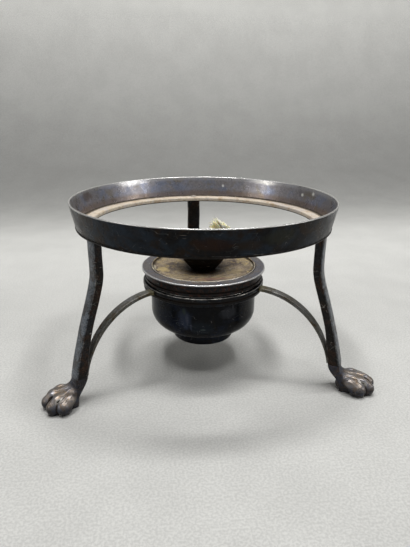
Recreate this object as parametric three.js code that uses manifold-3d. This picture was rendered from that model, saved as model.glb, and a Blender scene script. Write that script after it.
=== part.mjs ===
// Tripod burner stand: a collar on three paw-footed legs, and a spirit lamp in a ring between them.
// Millimetres, +Z up. The origin is on the ground, in the middle of the footprint, and the back leg is at +Y.
import * as THREE from "three";
import { mergeVertices } from "three/addons/utils/BufferGeometryUtils.js";
import Module from "manifold-3d";

const wasm = await Module();
wasm.setup();

// Stand
const STAND_HEIGHT = 110.2;
const LEG_ANGLES = { left: -60, right: 60, back: 180 };

// Collar that the vessel stands in: a flared band, let into the rebate of a flat seat ring
const RIM_RADIUS = 80;
const BAND_HEIGHT = 13.9;
const BAND_FLARE = 3.2;
const BAND_WALL = 1.3;
const RIM_ROUNDING = 0.65;
const SEAT_THICKNESS = 1.4;
const SEAT_LIP = 0.3;
const SEAT_REBATE = 0.4;
const LEDGE_WIDTH = 7.2;

// Legs: flat bars, straight under the collar and then sweeping out to the ankle
const LEG_WIDTH = 9;
const LEG_THICKNESS = 4.8;
const LEG_EDGE_BEVEL = 0.5;
const LEG_INSET = 1.8;
const LEG_STRAIGHT = 18.2;
const LEG_SPREAD = 15.8;
const LEG_UPPER_SWEEP = 11.4;
const LEG_LOWER_SWEEP = 40;
const LEG_LEAN = 0.221;
const ANKLE_HEIGHT = 16;
const ANKLE_THICKNESS = 6.9;

// Tenon rivets that hold the legs under the seat ring
const RIVET_SHANK_RADIUS = 1.5;
const RIVET_HEAD_RADIUS = 2.3;
const RIVET_HEAD_HEIGHT = 0.6;
const RIVET_DEPTH = 4;

// Paws: an instep that grows out of the ankle, a heel, a ball, and toes with knuckles, cut flat below
const PAW_REACH = 21;
const PAW_HEIGHT = 12.3;
const HEEL_RADII = new THREE.Vector3(4.4, 5.6, 4.2);
const HEEL_REACH = 1.5;
const BALL_RADII = new THREE.Vector3(9.6, 8.2, 6.4);
const BALL_REACH = 8.6;
const BALL_HEIGHT = 10.8;
const INSTEP_HEEL = 1.5;
const INSTEP_HOLLOW = 4;
const INSTEP_HOLLOW_HEIGHT = 7;
const INSTEP_NOSE = 9.6;
const INSTEP_NOSE_HEIGHT = 8.8;
const INSTEP_SADDLE = 0.8;
const INSTEP_SADDLE_HEIGHT = 10.9;
const INSTEP_UNDERSIDE = 3;
const TOE_LENGTH = 12.6;
const TOE_WIDTH = 5.5;
const TOE_HEIGHT = 8.6;
const TOE_SPREAD = 32;
const TOE_COUNT = 4;
const TOE_PIVOT = 5;
const OUTER_TOE_SETBACK = 1.6;
const KNUCKLE_SETBACK = 7.8;
const KNUCKLE_RADII = new THREE.Vector3(4, 2.75, 2.7);
const SOLE_CUT = 1;

// Arms that carry the lamp's ring
const ARM_WIDTH = 5.4;
const ARM_THICKNESS = 2.3;
const ARM_TIP_THICKNESS = 1;
const ARM_TAPER_POWER = 4;
const ARM_DROP = 0.8;
const ARM_LAP = 4;

// Ring that holds the lamp: the pot's flange rests in its rebate
const HOLDER_TOP = 58.3;
const HOLDER_HEIGHT = 5.3;
const HOLDER_RIM_WALL = 2.1;
const HOLDER_REBATE = 1.3;
const HOLDER_EDGE = 0.7;
const HOLDER_GROOVE_DEPTH = 0.6;
const HOLDER_GROOVE_WIDTH = 0.6;
const HOLDER_LIP_HEIGHT = 2.2;

// Lamp pot, with the collar round its mouth
const POT_RADIUS = 33.5;
const POT_HEIGHT = 46.2;
const POT_WALL = 0.9;
const POT_FOOT_RADIUS = 18.9;
const POT_FOOT_HEIGHT = 7.4;
const POT_FOOT_TAPER = 0.4;
const POT_FOOT_ROUNDING = 1.3;
const POT_FOOT_STEP = 0.5;
const POT_SHOULDER_HEIGHT = 12;
const POT_COLLAR_HEIGHT = 7.8;
const POT_COLLAR_WALL = 1.5;
const POT_COLLAR_FLANGE_WIDTH = 0.9;
const POT_COLLAR_FLANGE_THICKNESS = 1.2;

// Lid: a flanged ring with a grooved skirt, and the dished plate set in it
const LID_THICKNESS = 1.4;
const LID_OVERHANG = 1.9;
const LID_BORDER = 5.9;
const SKIRT_WALL = 1.7;
const SKIRT_CLEARANCE = 0.5;
const SKIRT_GROOVE_DEPTH = 0.6;
const SKIRT_GROOVE_WIDTH = 0.7;
const SKIRT_RIDGE_HEIGHT = 1.8;
const DISH_WALL = 0.9;
const DISH_BEAD_WIDTH = 0.9;
const DISH_BEAD_HEIGHT = 0.3;
const DISH_STEP_WIDTH = 2.7;
const DISH_STEP_DEPTH = 0.8;
const DISH_DEPTH = 3.1;
const DISH_FLOOR_RADIUS = 9;

// Burner: a bowl with a threaded neck, its bush under the lid, and the wick tube
const NECK_RADIUS = 5.4;
const NECK_LENGTH = 5;
const BUSH_WALL = 2;
const BUSH_HEIGHT = 3.6;
const BOWL_FOOT_RADIUS = 7.4;
const BOWL_RADIUS = 14.8;
const BOWL_HEIGHT = 15;
const BOWL_ROUND_HEIGHT = 9.9;
const BOWL_WALL = 1;
const BOWL_FLOOR = 1.4;
const TUBE_RADIUS = 4.2;
const TUBE_WALL = 0.6;
const TUBE_RISE = 3;

// Wick: a cotton cord that stands in the tube, bends over above it and ends in a frayed tuft
const WICK_FLOOR_GAP = 5.2;
const WICK_RISE = 3.5;
const WICK_BEND_RISE = 6;
const WICK_TUFT_REACH = 9.6;
const WICK_TUFT_SHIFT = 2;
const WICK_TUFT_RISE = 11.4;
const WICK_TUFT_RADII = new THREE.Vector3(6.6, 5, 3.3);

// Clearances
const FIT_GAP = 0.3;
const SOLDER_GAP = 0.1;
const SEAT_GAP = 0.3;
const CUT_MARGIN = 1;

// Smoothness
const COLLAR_SIDES = 72;
const LAMP_SIDES = 48;
const BURNER_SIDES = 32;
const RIVET_SIDES = 12;
const WICK_SIDES = 10;
const WICK_STEPS = 30;
const LEG_STEPS = 14;
const ARM_STEPS = 16;
const ARC_STEPS = 3;
const EDGE_STEPS = 4;
const BOWL_STEPS = 6;
const INSTEP_STEPS = 5;
const LUMP_COLUMNS = 12;
const LUMP_ROWS = 8;
const SMALL_LUMP_COLUMNS = 10;
const SMALL_LUMP_ROWS = 7;
const FIT_HALVINGS = 40;

// Heights and radii that follow
const seatTop = STAND_HEIGHT - BAND_HEIGHT;
const seatBottom = seatTop - SEAT_THICKNESS;
const bandFoot = seatTop - SEAT_REBATE;
const bandFootRadius = RIM_RADIUS - BAND_FLARE;
const bandSlope = at(BAND_FLARE, STAND_HEIGHT - bandFoot).normalize();
const bandFootInner = bandFootRadius - BAND_WALL / bandSlope.y;
const seatInnerRadius = bandFootRadius - BAND_WALL - LEDGE_WIDTH;
const legTopRadius = bandFootRadius - LEG_INSET;
const ankleRadius = legTopRadius + LEG_SPREAD;
const rivetRadius = legTopRadius - LEG_THICKNESS / 2;
const holderSeat = HOLDER_TOP - HOLDER_REBATE;
const potFlangeBottom = holderSeat + FIT_GAP;
const potFlangeTop = potFlangeBottom + POT_COLLAR_FLANGE_THICKNESS;
const potMouth = potFlangeBottom + POT_COLLAR_HEIGHT;
const potBottom = potMouth - POT_HEIGHT;
const potCollarInner = POT_RADIUS + SOLDER_GAP;
const potCollarRadius = potCollarInner + POT_COLLAR_WALL;
const potFlangeRadius = potCollarRadius + POT_COLLAR_FLANGE_WIDTH;
const holderRadius = potFlangeRadius + FIT_GAP + HOLDER_RIM_WALL;
const lidUnderside = potMouth + FIT_GAP;
const lidTop = lidUnderside + LID_THICKNESS;
const skirtBottom = Math.max(HOLDER_TOP, potFlangeTop) + SKIRT_CLEARANCE;
const skirtInner = potCollarRadius + FIT_GAP;
const skirtRadius = skirtInner + SKIRT_WALL;
const lidRadius = skirtRadius + LID_OVERHANG;
const dishRadius = lidRadius - LID_BORDER;
const dishFloor = lidTop - DISH_DEPTH;
const boreRadius = NECK_RADIUS + FIT_GAP;
const bowlBottom = dishFloor + FIT_GAP;
const bowlTop = bowlBottom + BOWL_HEIGHT;
const neckBottom = bowlBottom - NECK_LENGTH;
const tubeTop = bowlTop + TUBE_RISE;

const finishes = {
  collar: { color: 0x3b3a3e, roughness: 0.42, metalness: 0.85 },
  seat: { color: 0xa89c92, roughness: 0.5, metalness: 0.6 },
  leg: { color: 0x55565a, roughness: 0.4, metalness: 0.85 },
  paw: { color: 0x8a8480, roughness: 0.32, metalness: 0.9 },
  arm: { color: 0x6b6a66, roughness: 0.45, metalness: 0.8 },
  holder: { color: 0x4c4d52, roughness: 0.4, metalness: 0.85 },
  pot: { color: 0x2c3138, roughness: 0.25, metalness: 0.85 },
  lid: { color: 0x74767c, roughness: 0.5, metalness: 0.6 },
  dish: { color: 0x8f8273, roughness: 0.6, metalness: 0.4 },
  burner: { color: 0x2a211c, roughness: 0.6, metalness: 0.4 },
  brass: { color: 0x6f5f3a, roughness: 0.5, metalness: 0.8 },
  cotton: { color: 0xd9cfae, roughness: 1, metalness: 0 },
};

/** A point of a turned or sawn outline: distance from the axis, and height. */
function at(radius, height) {
  return new THREE.Vector2(radius, height);
}

/** Points along a stretch of an ellipse, from one angle to another in degrees, its ends included. */
function arc(centre, radii, fromAngle, toAngle, steps = ARC_STEPS) {
  const points = [];
  for (let step = 0; step <= steps; step += 1) {
    const angle = THREE.MathUtils.degToRad(THREE.MathUtils.lerp(fromAngle, toAngle, step / steps));
    points.push(at(centre.x + radii.x * Math.cos(angle), centre.y + radii.y * Math.sin(angle)));
  }
  return points;
}

/** Turns an outline round the Z axis. A ring's outline is closed on itself. */
function turned(outline, sides, isRing = false) {
  const points = isRing ? [...outline, outline[0].clone()] : outline;
  return new THREE.LatheGeometry(points, sides).rotateX(Math.PI / 2);
}

/** Saws an outline, drawn as radius and height, from a bar of the given width centred on the XZ plane. */
function sawn(outline, width, bevel = 0) {
  const geometry = new THREE.ExtrudeGeometry(new THREE.Shape(outline), {
    depth: width - 2 * bevel,
    steps: 1,
    bevelEnabled: bevel > 0,
    bevelThickness: bevel,
    bevelSize: bevel,
    bevelOffset: -bevel,
    bevelSegments: 1,
  });
  return geometry.translate(0, 0, bevel - width / 2).rotateX(Math.PI / 2);
}

function asSolid(geometry) {
  const bare = geometry.clone();
  bare.deleteAttribute("normal");
  bare.deleteAttribute("uv");
  const welded = mergeVertices(bare, 1e-4);
  const mesh = new wasm.Mesh({
    numProp: 3,
    vertProperties: new Float32Array(welded.attributes.position.array),
    triVerts: new Uint32Array(welded.index.array),
  });
  return new wasm.Manifold(mesh);
}

function asGeometry(solid) {
  const mesh = solid.getMesh();
  const geometry = new THREE.BufferGeometry();
  geometry.setAttribute("position", new THREE.BufferAttribute(mesh.vertProperties, 3));
  geometry.setIndex(new THREE.BufferAttribute(mesh.triVerts, 1));
  geometry.computeVertexNormals();
  return geometry;
}

function joined(geometries) {
  return geometries.map(asSolid).reduce((whole, piece) => whole.add(piece));
}

/** An upright cylinder between two heights. */
function post(radius, bottom, top, sides) {
  const height = top - bottom;
  const geometry = new THREE.CylinderGeometry(radius, radius, height, sides).rotateX(Math.PI / 2);
  return geometry.translate(0, 0, bottom + height / 2);
}

/** An ellipsoid given by its middle and its half-axes. */
function lump(middle, radii, columns = LUMP_COLUMNS, rows = LUMP_ROWS) {
  const geometry = new THREE.SphereGeometry(1, columns, rows).rotateX(Math.PI / 2);
  return geometry.scale(radii.x, radii.y, radii.z).translate(middle.x, middle.y, middle.z);
}

function addPart(parent, name, geometry, finish) {
  const mesh = new THREE.Mesh(geometry, new THREE.MeshStandardMaterial(finishes[finish]));
  mesh.name = name;
  parent.add(mesh);
}

// Collar

function collarBand() {
  const rim = at(RIM_RADIUS - BAND_WALL / 2, STAND_HEIGHT - RIM_ROUNDING);
  const rounding = at(BAND_WALL / 2, RIM_ROUNDING);
  const outline = [
    at(bandFootInner, bandFoot),
    at(bandFootRadius, bandFoot),
    ...arc(rim, rounding, 0, 180, EDGE_STEPS),
  ];
  return turned(outline, COLLAR_SIDES, true);
}

function seatRing() {
  const outerRadius = bandFootRadius + SEAT_LIP;
  const outline = [
    at(seatInnerRadius, seatBottom),
    at(bandFootRadius, seatBottom),
    at(outerRadius, seatBottom + SEAT_LIP),
    at(outerRadius, bandFoot - SEAT_LIP),
    at(bandFootRadius, bandFoot),
    at(bandFootInner - SOLDER_GAP, bandFoot),
    at(bandFootInner - SOLDER_GAP, seatTop),
    at(seatInnerRadius, seatTop),
  ];
  let ring = asSolid(turned(outline, COLLAR_SIDES, true));
  const hole = post(RIVET_SHANK_RADIUS + FIT_GAP, seatBottom - CUT_MARGIN, seatTop + CUT_MARGIN, RIVET_SIDES);
  hole.translate(rivetRadius, 0, 0);
  for (const angle of Object.values(LEG_ANGLES)) {
    ring = ring.subtract(asSolid(hole.clone().rotateZ(legTurn(angle))));
  }
  return asGeometry(ring);
}

// Legs

/** The turn about Z that brings a leg, drawn along +X, to its angle from the front. */
function legTurn(angle) {
  return THREE.MathUtils.degToRad(angle - 90);
}

/** Points down the leg's outer face, from the end of its straight part to the ankle. */
function legSweep() {
  const start = at(legTopRadius, seatBottom - LEG_STRAIGHT);
  const end = at(ankleRadius, ANKLE_HEIGHT);
  const curve = new THREE.CubicBezierCurve(
    start,
    at(start.x, start.y - LEG_UPPER_SWEEP),
    at(end.x - LEG_LEAN * LEG_LOWER_SWEEP, end.y + LEG_LOWER_SWEEP),
    end,
  );
  return curve.getSpacedPoints(LEG_STEPS);
}

/** Points down the leg's inner face: the bar thickens towards the ankle over its last third. */
function legInnerFace() {
  const sweep = legSweep();
  const thickFrom = (2 * ANKLE_HEIGHT + seatBottom) / 3;
  return sweep.map((point) => {
    const share = THREE.MathUtils.smoothstep(thickFrom - point.y, 0, thickFrom - ANKLE_HEIGHT);
    return at(point.x - THREE.MathUtils.lerp(LEG_THICKNESS, ANKLE_THICKNESS, share), point.y);
  });
}

function leg() {
  const outline = [
    at(legTopRadius - LEG_THICKNESS, seatBottom),
    ...legInnerFace(),
    ...legSweep().reverse(),
    at(legTopRadius, seatBottom),
  ];
  const bar = asSolid(sawn(outline, LEG_WIDTH, LEG_EDGE_BEVEL));
  const holeBottom = seatBottom - RIVET_DEPTH - FIT_GAP;
  const hole = post(RIVET_SHANK_RADIUS + FIT_GAP, holeBottom, seatBottom + CUT_MARGIN, RIVET_SIDES);
  return asGeometry(bar.subtract(asSolid(hole.translate(rivetRadius, 0, 0))));
}

function rivet() {
  const headBottom = seatTop + FIT_GAP;
  const outline = [
    at(0, seatBottom - RIVET_DEPTH),
    at(RIVET_SHANK_RADIUS, seatBottom - RIVET_DEPTH),
    at(RIVET_SHANK_RADIUS, headBottom),
    ...arc(at(0, headBottom), at(RIVET_HEAD_RADIUS, RIVET_HEAD_HEIGHT), 0, 60, 2),
    at(0, headBottom + RIVET_HEAD_HEIGHT),
  ];
  return turned(outline, RIVET_SIDES).translate(rivetRadius, 0, 0);
}

// Paws

/** The ankle and instep, sawn as one bar: it starts as the leg's section and runs down into the ball. */
function pawInstep() {
  const top = ANKLE_HEIGHT - SEAT_GAP;
  const heel = ankleRadius - INSTEP_HEEL;
  const nose = ankleRadius + INSTEP_NOSE;
  const outline = new THREE.Shape();
  outline.moveTo(ankleRadius - ANKLE_THICKNESS, top);
  outline.quadraticCurveTo(ankleRadius - INSTEP_HOLLOW, INSTEP_HOLLOW_HEIGHT, heel, INSTEP_UNDERSIDE);
  outline.lineTo(nose, INSTEP_UNDERSIDE);
  outline.lineTo(nose, INSTEP_NOSE_HEIGHT);
  outline.quadraticCurveTo(ankleRadius + INSTEP_SADDLE, INSTEP_SADDLE_HEIGHT, ankleRadius, top);
  return sawn(outline.extractPoints(INSTEP_STEPS).shape, LEG_WIDTH, LEG_EDGE_BEVEL);
}

/** A lump of the paw by its reach from the ankle, the height of its top, and its radii. */
function pawLump(reach, height, radii, columns, rows) {
  return lump(new THREE.Vector3(ankleRadius + reach, 0, height - radii.z), radii, columns, rows);
}

/** One toe: a long low pad with its knuckle, turned outwards about a point behind the heel. */
function toe(angle, setback) {
  const padRadii = new THREE.Vector3(TOE_LENGTH, TOE_WIDTH, TOE_HEIGHT + SOLE_CUT).divideScalar(2);
  const tip = PAW_REACH - setback;
  const pieces = [
    pawLump(tip - padRadii.x, TOE_HEIGHT, padRadii, SMALL_LUMP_COLUMNS, SMALL_LUMP_ROWS),
    pawLump(tip - KNUCKLE_SETBACK, PAW_HEIGHT - setback, KNUCKLE_RADII, SMALL_LUMP_COLUMNS, SMALL_LUMP_ROWS),
  ];
  const pivot = ankleRadius - TOE_PIVOT;
  for (const piece of pieces) {
    piece.translate(-pivot, 0, 0).rotateZ(THREE.MathUtils.degToRad(angle)).translate(pivot, 0, 0);
  }
  return pieces;
}

function paw() {
  const pieces = [
    pawInstep(),
    pawLump(BALL_REACH, BALL_HEIGHT, BALL_RADII),
    pawLump(HEEL_REACH, 2 * HEEL_RADII.z - SOLE_CUT, HEEL_RADII, SMALL_LUMP_COLUMNS, SMALL_LUMP_ROWS),
  ];
  for (let count = 0; count < TOE_COUNT; count += 1) {
    const angle = TOE_SPREAD * (count / (TOE_COUNT - 1) - 0.5);
    const isOuter = count === 0 || count === TOE_COUNT - 1;
    pieces.push(...toe(angle, isOuter ? OUTER_TOE_SETBACK : 0));
  }
  const underground = 4 * PAW_REACH;
  const ground = new THREE.BoxGeometry(underground, underground, underground);
  ground.translate(ankleRadius, 0, -underground / 2);
  return asGeometry(joined(pieces).subtract(asSolid(ground)));
}

// Arms

/** The arm's arc starts level at the holder and just reaches the leg, so its radius follows from both. */
function armArc() {
  const start = at(holderRadius, HOLDER_TOP - ARM_DROP);
  const face = legInnerFace();
  let low = ARM_THICKNESS;
  let high = start.y;
  for (let halving = 0; halving < FIT_HALVINGS; halving += 1) {
    const radius = (low + high) / 2;
    const centre = at(start.x, start.y - radius);
    const nearest = Math.min(...face.map((point) => point.distanceTo(centre)));
    if (nearest - SEAT_GAP > radius) {
      low = radius;
    } else {
      high = radius;
    }
  }
  const centre = at(start.x, start.y - low);
  const touch = face.reduce((a, b) => (a.distanceTo(centre) < b.distanceTo(centre) ? a : b));
  const touchAngle = Math.atan2(touch.y - centre.y, touch.x - centre.x);
  return { centre, radius: low, endAngle: touchAngle - ARM_LAP / low };
}

function arm() {
  const { centre, radius, endAngle } = armArc();
  const startAngle = Math.PI / 2 - SEAT_GAP / radius;
  const upper = [];
  const lower = [];
  for (let step = 0; step <= ARM_STEPS; step += 1) {
    const share = step / ARM_STEPS;
    const angle = THREE.MathUtils.lerp(startAngle, endAngle, share);
    const thickness = THREE.MathUtils.lerp(ARM_THICKNESS, ARM_TIP_THICKNESS, share ** ARM_TAPER_POWER);
    const direction = at(Math.cos(angle), Math.sin(angle));
    upper.push(centre.clone().addScaledVector(direction, radius));
    lower.push(centre.clone().addScaledVector(direction, radius - thickness));
  }
  return sawn([...lower, ...upper.reverse()], ARM_WIDTH);
}

// Lamp holder

function holderRing() {
  const bottom = HOLDER_TOP - HOLDER_HEIGHT;
  const inner = potCollarInner + FIT_GAP;
  const rebate = potFlangeRadius + FIT_GAP;
  const lipRadius = holderRadius - HOLDER_GROOVE_DEPTH / 2;
  const grooveRadius = holderRadius - HOLDER_GROOVE_DEPTH;
  const grooveBottom = bottom + HOLDER_LIP_HEIGHT;
  const outline = [
    at(inner, bottom),
    at(lipRadius - HOLDER_EDGE, bottom),
    at(lipRadius, bottom + HOLDER_EDGE),
    at(lipRadius, grooveBottom),
    at(grooveRadius, grooveBottom),
    at(grooveRadius, grooveBottom + HOLDER_GROOVE_WIDTH),
    at(holderRadius, grooveBottom + HOLDER_GROOVE_WIDTH),
    at(holderRadius, HOLDER_TOP - HOLDER_EDGE),
    at(holderRadius - HOLDER_EDGE, HOLDER_TOP),
    at(rebate, HOLDER_TOP),
    at(rebate, holderSeat),
    at(inner, holderSeat),
  ];
  return turned(outline, LAMP_SIDES, true);
}

// Lamp pot

function lampPot() {
  const footTop = potBottom + POT_FOOT_HEIGHT;
  const footBottomRadius = POT_FOOT_RADIUS - POT_FOOT_TAPER;
  const shoulderInner = POT_FOOT_RADIUS + POT_FOOT_STEP;
  const shoulderCentre = at(shoulderInner, footTop + POT_SHOULDER_HEIGHT);
  const shoulder = at(POT_RADIUS - shoulderInner, POT_SHOULDER_HEIGHT);
  const insideShoulder = at(shoulder.x - POT_WALL, shoulder.y - POT_WALL);
  const footRound = at(footBottomRadius - POT_FOOT_ROUNDING, potBottom + POT_FOOT_ROUNDING);
  const outline = [
    at(0, potBottom),
    ...arc(footRound, at(POT_FOOT_ROUNDING, POT_FOOT_ROUNDING), -90, 0),
    at(POT_FOOT_RADIUS, footTop - POT_WALL),
    ...arc(shoulderCentre, shoulder, -90, 0, BOWL_STEPS),
    at(POT_RADIUS, potMouth),
    at(POT_RADIUS - POT_WALL, potMouth),
    ...arc(shoulderCentre, insideShoulder, 0, -90, BOWL_STEPS),
    at(POT_FOOT_RADIUS - POT_WALL, footTop),
    at(footBottomRadius - POT_WALL, potBottom + POT_WALL),
    at(0, potBottom + POT_WALL),
  ];
  return turned(outline, LAMP_SIDES);
}

function potCollar() {
  const outline = [
    at(potCollarInner, potFlangeBottom),
    at(potFlangeRadius, potFlangeBottom),
    at(potFlangeRadius, potFlangeTop),
    at(potCollarRadius, potFlangeTop),
    at(potCollarRadius, potMouth),
    at(potCollarInner, potMouth),
  ];
  return turned(outline, LAMP_SIDES, true);
}

// Lid

function lidRing() {
  const plateInner = dishRadius + SOLDER_GAP;
  const grooveRadius = skirtRadius - SKIRT_GROOVE_DEPTH;
  const grooveBottom = skirtBottom + SKIRT_RIDGE_HEIGHT;
  const grooveTop = grooveBottom + SKIRT_GROOVE_WIDTH;
  const edge = at(lidRadius - LID_THICKNESS / 2, lidTop - LID_THICKNESS / 2);
  const outline = [
    at(skirtInner, skirtBottom),
    at(skirtRadius, skirtBottom),
    at(skirtRadius, grooveBottom),
    at(grooveRadius, grooveBottom),
    at(grooveRadius, grooveTop),
    at(skirtRadius, grooveTop),
    at(skirtRadius, lidUnderside),
    ...arc(edge, at(LID_THICKNESS / 2, LID_THICKNESS / 2), -90, 90, EDGE_STEPS),
    at(plateInner, lidTop),
    at(plateInner, lidUnderside),
    at(skirtInner, lidUnderside),
  ];
  return turned(outline, LAMP_SIDES, true);
}

function lidDish() {
  const stepTop = lidTop - DISH_STEP_DEPTH;
  const beadInner = dishRadius - DISH_BEAD_WIDTH;
  const stepRadius = beadInner - DISH_STEP_WIDTH;
  const outline = [
    at(boreRadius, dishFloor - DISH_WALL),
    at(DISH_FLOOR_RADIUS, dishFloor - DISH_WALL),
    at(stepRadius, stepTop - DISH_WALL),
    at(beadInner - DISH_WALL, stepTop - DISH_WALL),
    at(beadInner - DISH_WALL, lidUnderside),
    at(dishRadius, lidUnderside),
    at(dishRadius, lidTop),
    at(dishRadius - DISH_BEAD_WIDTH / 2, lidTop + DISH_BEAD_HEIGHT),
    at(beadInner, lidTop),
    at(beadInner, stepTop + DISH_BEAD_HEIGHT / 2),
    at(stepRadius, stepTop),
    at(DISH_FLOOR_RADIUS, dishFloor),
    at(boreRadius, dishFloor),
  ];
  return turned(outline, LAMP_SIDES, true);
}

// Burner

function burnerBush() {
  const top = dishFloor - DISH_WALL;
  const outline = [
    at(boreRadius, top - BUSH_HEIGHT),
    at(boreRadius + BUSH_WALL, top - BUSH_HEIGHT),
    at(boreRadius + BUSH_WALL, top),
    at(boreRadius, top),
  ];
  return turned(outline, BURNER_SIDES, true);
}

function burnerCup() {
  const bore = TUBE_RADIUS + SOLDER_GAP;
  const centre = at(BOWL_FOOT_RADIUS, bowlBottom + BOWL_ROUND_HEIGHT);
  const side = at(BOWL_RADIUS - BOWL_FOOT_RADIUS, BOWL_ROUND_HEIGHT);
  const insideFloor = bowlBottom + BOWL_FLOOR;
  const inside = at(side.x - BOWL_WALL, centre.y - insideFloor);
  const outline = [
    at(bore, neckBottom),
    at(NECK_RADIUS, neckBottom),
    at(NECK_RADIUS, bowlBottom),
    ...arc(centre, side, -90, 0, BOWL_STEPS),
    at(BOWL_RADIUS, bowlTop),
    at(BOWL_RADIUS - BOWL_WALL, bowlTop),
    ...arc(centre, inside, 0, -90, BOWL_STEPS),
    at(bore, insideFloor),
  ];
  return turned(outline, BURNER_SIDES, true);
}

function wickTube() {
  const inner = TUBE_RADIUS - TUBE_WALL;
  const outline = [
    at(inner, neckBottom),
    at(TUBE_RADIUS, neckBottom),
    at(TUBE_RADIUS, tubeTop),
    at(inner, tubeTop),
  ];
  return turned(outline, BURNER_SIDES, true);
}

function wick() {
  const radius = TUBE_RADIUS - TUBE_WALL - FIT_GAP;
  const bendHeight = tubeTop + WICK_RISE;
  const bottom = new THREE.Vector3(0, 0, potBottom + POT_WALL + WICK_FLOOR_GAP);
  const bendStart = new THREE.Vector3(0, 0, bendHeight);
  const bendTop = new THREE.Vector3(0, 0, bendHeight + WICK_BEND_RISE);
  const tuft = new THREE.Vector3(WICK_TUFT_REACH, WICK_TUFT_SHIFT, tubeTop + WICK_TUFT_RISE);
  const path = new THREE.CurvePath();
  path.add(new THREE.LineCurve3(bottom, bendStart));
  path.add(new THREE.QuadraticBezierCurve3(bendStart, bendTop, tuft));
  const lastAngle = 360 - 360 / WICK_SIDES;
  const section = new THREE.Shape(arc(at(0, 0), at(radius, radius), 0, lastAngle, WICK_SIDES - 1));
  const along = { steps: WICK_STEPS, bevelEnabled: false, extrudePath: path };
  const cord = new THREE.ExtrudeGeometry(section, along);
  return asGeometry(joined([cord, lump(tuft, WICK_TUFT_RADII)]));
}

const stove = new THREE.Group();
stove.name = "tripod_stove";

addPart(stove, "collar_band", collarBand(), "collar");
addPart(stove, "seat_ring", seatRing(), "seat");
for (const [side, angle] of Object.entries(LEG_ANGLES)) {
  const limb = new THREE.Group();
  limb.rotation.z = legTurn(angle);
  addPart(limb, `leg_${side}`, leg(), "leg");
  addPart(limb, `rivet_${side}`, rivet(), "seat");
  addPart(limb, `paw_${side}`, paw(), "paw");
  addPart(limb, `arm_${side}`, arm(), "arm");
  stove.add(limb);
}
addPart(stove, "holder_ring", holderRing(), "holder");
addPart(stove, "lamp_pot", lampPot(), "pot");
addPart(stove, "pot_collar", potCollar(), "holder");
addPart(stove, "lid_ring", lidRing(), "lid");
addPart(stove, "lid_dish", lidDish(), "dish");
addPart(stove, "burner_bush", burnerBush(), "brass");
addPart(stove, "burner_cup", burnerCup(), "burner");
addPart(stove, "wick_tube", wickTube(), "brass");
addPart(stove, "wick", wick(), "cotton");

// The lamp's axis isn't the middle of a three-legged footprint, so the stand moves until that is the origin.
const footprint = new THREE.Box3().setFromObject(stove, true);
stove.position.y = -(footprint.min.y + footprint.max.y) / 2;
stove.updateMatrixWorld(true);

export default stove;
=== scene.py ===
"""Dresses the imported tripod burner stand: tarnished silver plate, a hanging spirit lamp and its wick."""

import itertools
import logging
import math
from collections.abc import Callable, Mapping, Sequence
from dataclasses import dataclass, field
from enum import Enum
from functools import cache, partial
from typing import NamedTuple

import bmesh
import bpy
import numpy as np
from mathutils import Matrix, Vector


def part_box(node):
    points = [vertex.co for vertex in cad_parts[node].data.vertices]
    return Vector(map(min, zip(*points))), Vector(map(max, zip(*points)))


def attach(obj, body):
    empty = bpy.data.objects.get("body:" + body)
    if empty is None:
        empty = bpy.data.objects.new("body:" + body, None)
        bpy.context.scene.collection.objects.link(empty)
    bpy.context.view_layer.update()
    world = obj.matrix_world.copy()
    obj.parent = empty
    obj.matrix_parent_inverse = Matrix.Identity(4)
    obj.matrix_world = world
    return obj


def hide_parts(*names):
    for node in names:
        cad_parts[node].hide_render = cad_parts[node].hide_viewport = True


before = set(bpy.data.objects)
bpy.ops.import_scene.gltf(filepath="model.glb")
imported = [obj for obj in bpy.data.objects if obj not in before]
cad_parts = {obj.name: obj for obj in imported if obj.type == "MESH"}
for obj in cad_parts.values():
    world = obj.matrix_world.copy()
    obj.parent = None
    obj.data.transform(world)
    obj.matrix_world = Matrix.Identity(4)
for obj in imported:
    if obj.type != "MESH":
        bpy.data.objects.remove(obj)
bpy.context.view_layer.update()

LOG = logging.getLogger("burner_stand")
MM = 0.001
LEG_ANGLES = {"left": -60.0, "right": 60.0, "back": 180.0}

Colour = tuple[float, float, float, float]
Shade = tuple[float, float, float]
Triple = tuple[float, float, float]


class Body(Enum):
    """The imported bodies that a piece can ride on."""

    STAND = "stand"
    LAMP = "lamp"
    LID = "lid"
    BURNER = "burner"
    WICK = "wick_cord"


class Slot(Enum):
    """The record's material slots."""

    COLLAR = "collar_plate"
    LEDGE = "ledge_plate"
    LEG = "leg_plate"
    PAW = "paw_casting"
    ARM = "arm_plate"
    HOLDER = "holder_plate"
    POT = "pot_plate"
    LID = "lid_plate"
    DISH = "dish_plate"
    BRASS = "bare_brass"
    SOOT = "sooted_metal"
    COTTON = "cotton_wick"


def srgb(shade: Shade) -> Colour:
    """Turns a shade written as it shows on screen, 0 to 255, into the opaque linear colour for a shader."""
    shares = [part / 255 for part in shade]
    return *(part / 12.92 if part <= 0.04045 else ((part + 0.055) / 1.055) ** 2.4 for part in shares), 1.0


class Extent(NamedTuple):
    """A turned CAD node in millimetres: its radius round the lamp's axis, and the heights of its ends."""

    radius: float
    bottom: float
    top: float

    @classmethod
    def of(cls, node: str) -> "Extent":
        """Reads a node's extent from the frame."""
        low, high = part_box(node)
        return cls((high.x - low.x) / 2 / MM, low.z / MM, high.z / MM)


def lamp_axis() -> Vector:
    """The foot of the lamp's upright axis, in millimetres."""
    low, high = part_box("lamp_pot")
    return Vector(((low.x + high.x) / 2, (low.y + high.y) / 2, 0)) / MM


AXIS = lamp_axis()


def leg_turn(angle: float) -> float:
    """The turn about Z, in radians, that brings what is drawn along +X to an angle from the front."""
    return math.radians(angle - 90)


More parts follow.
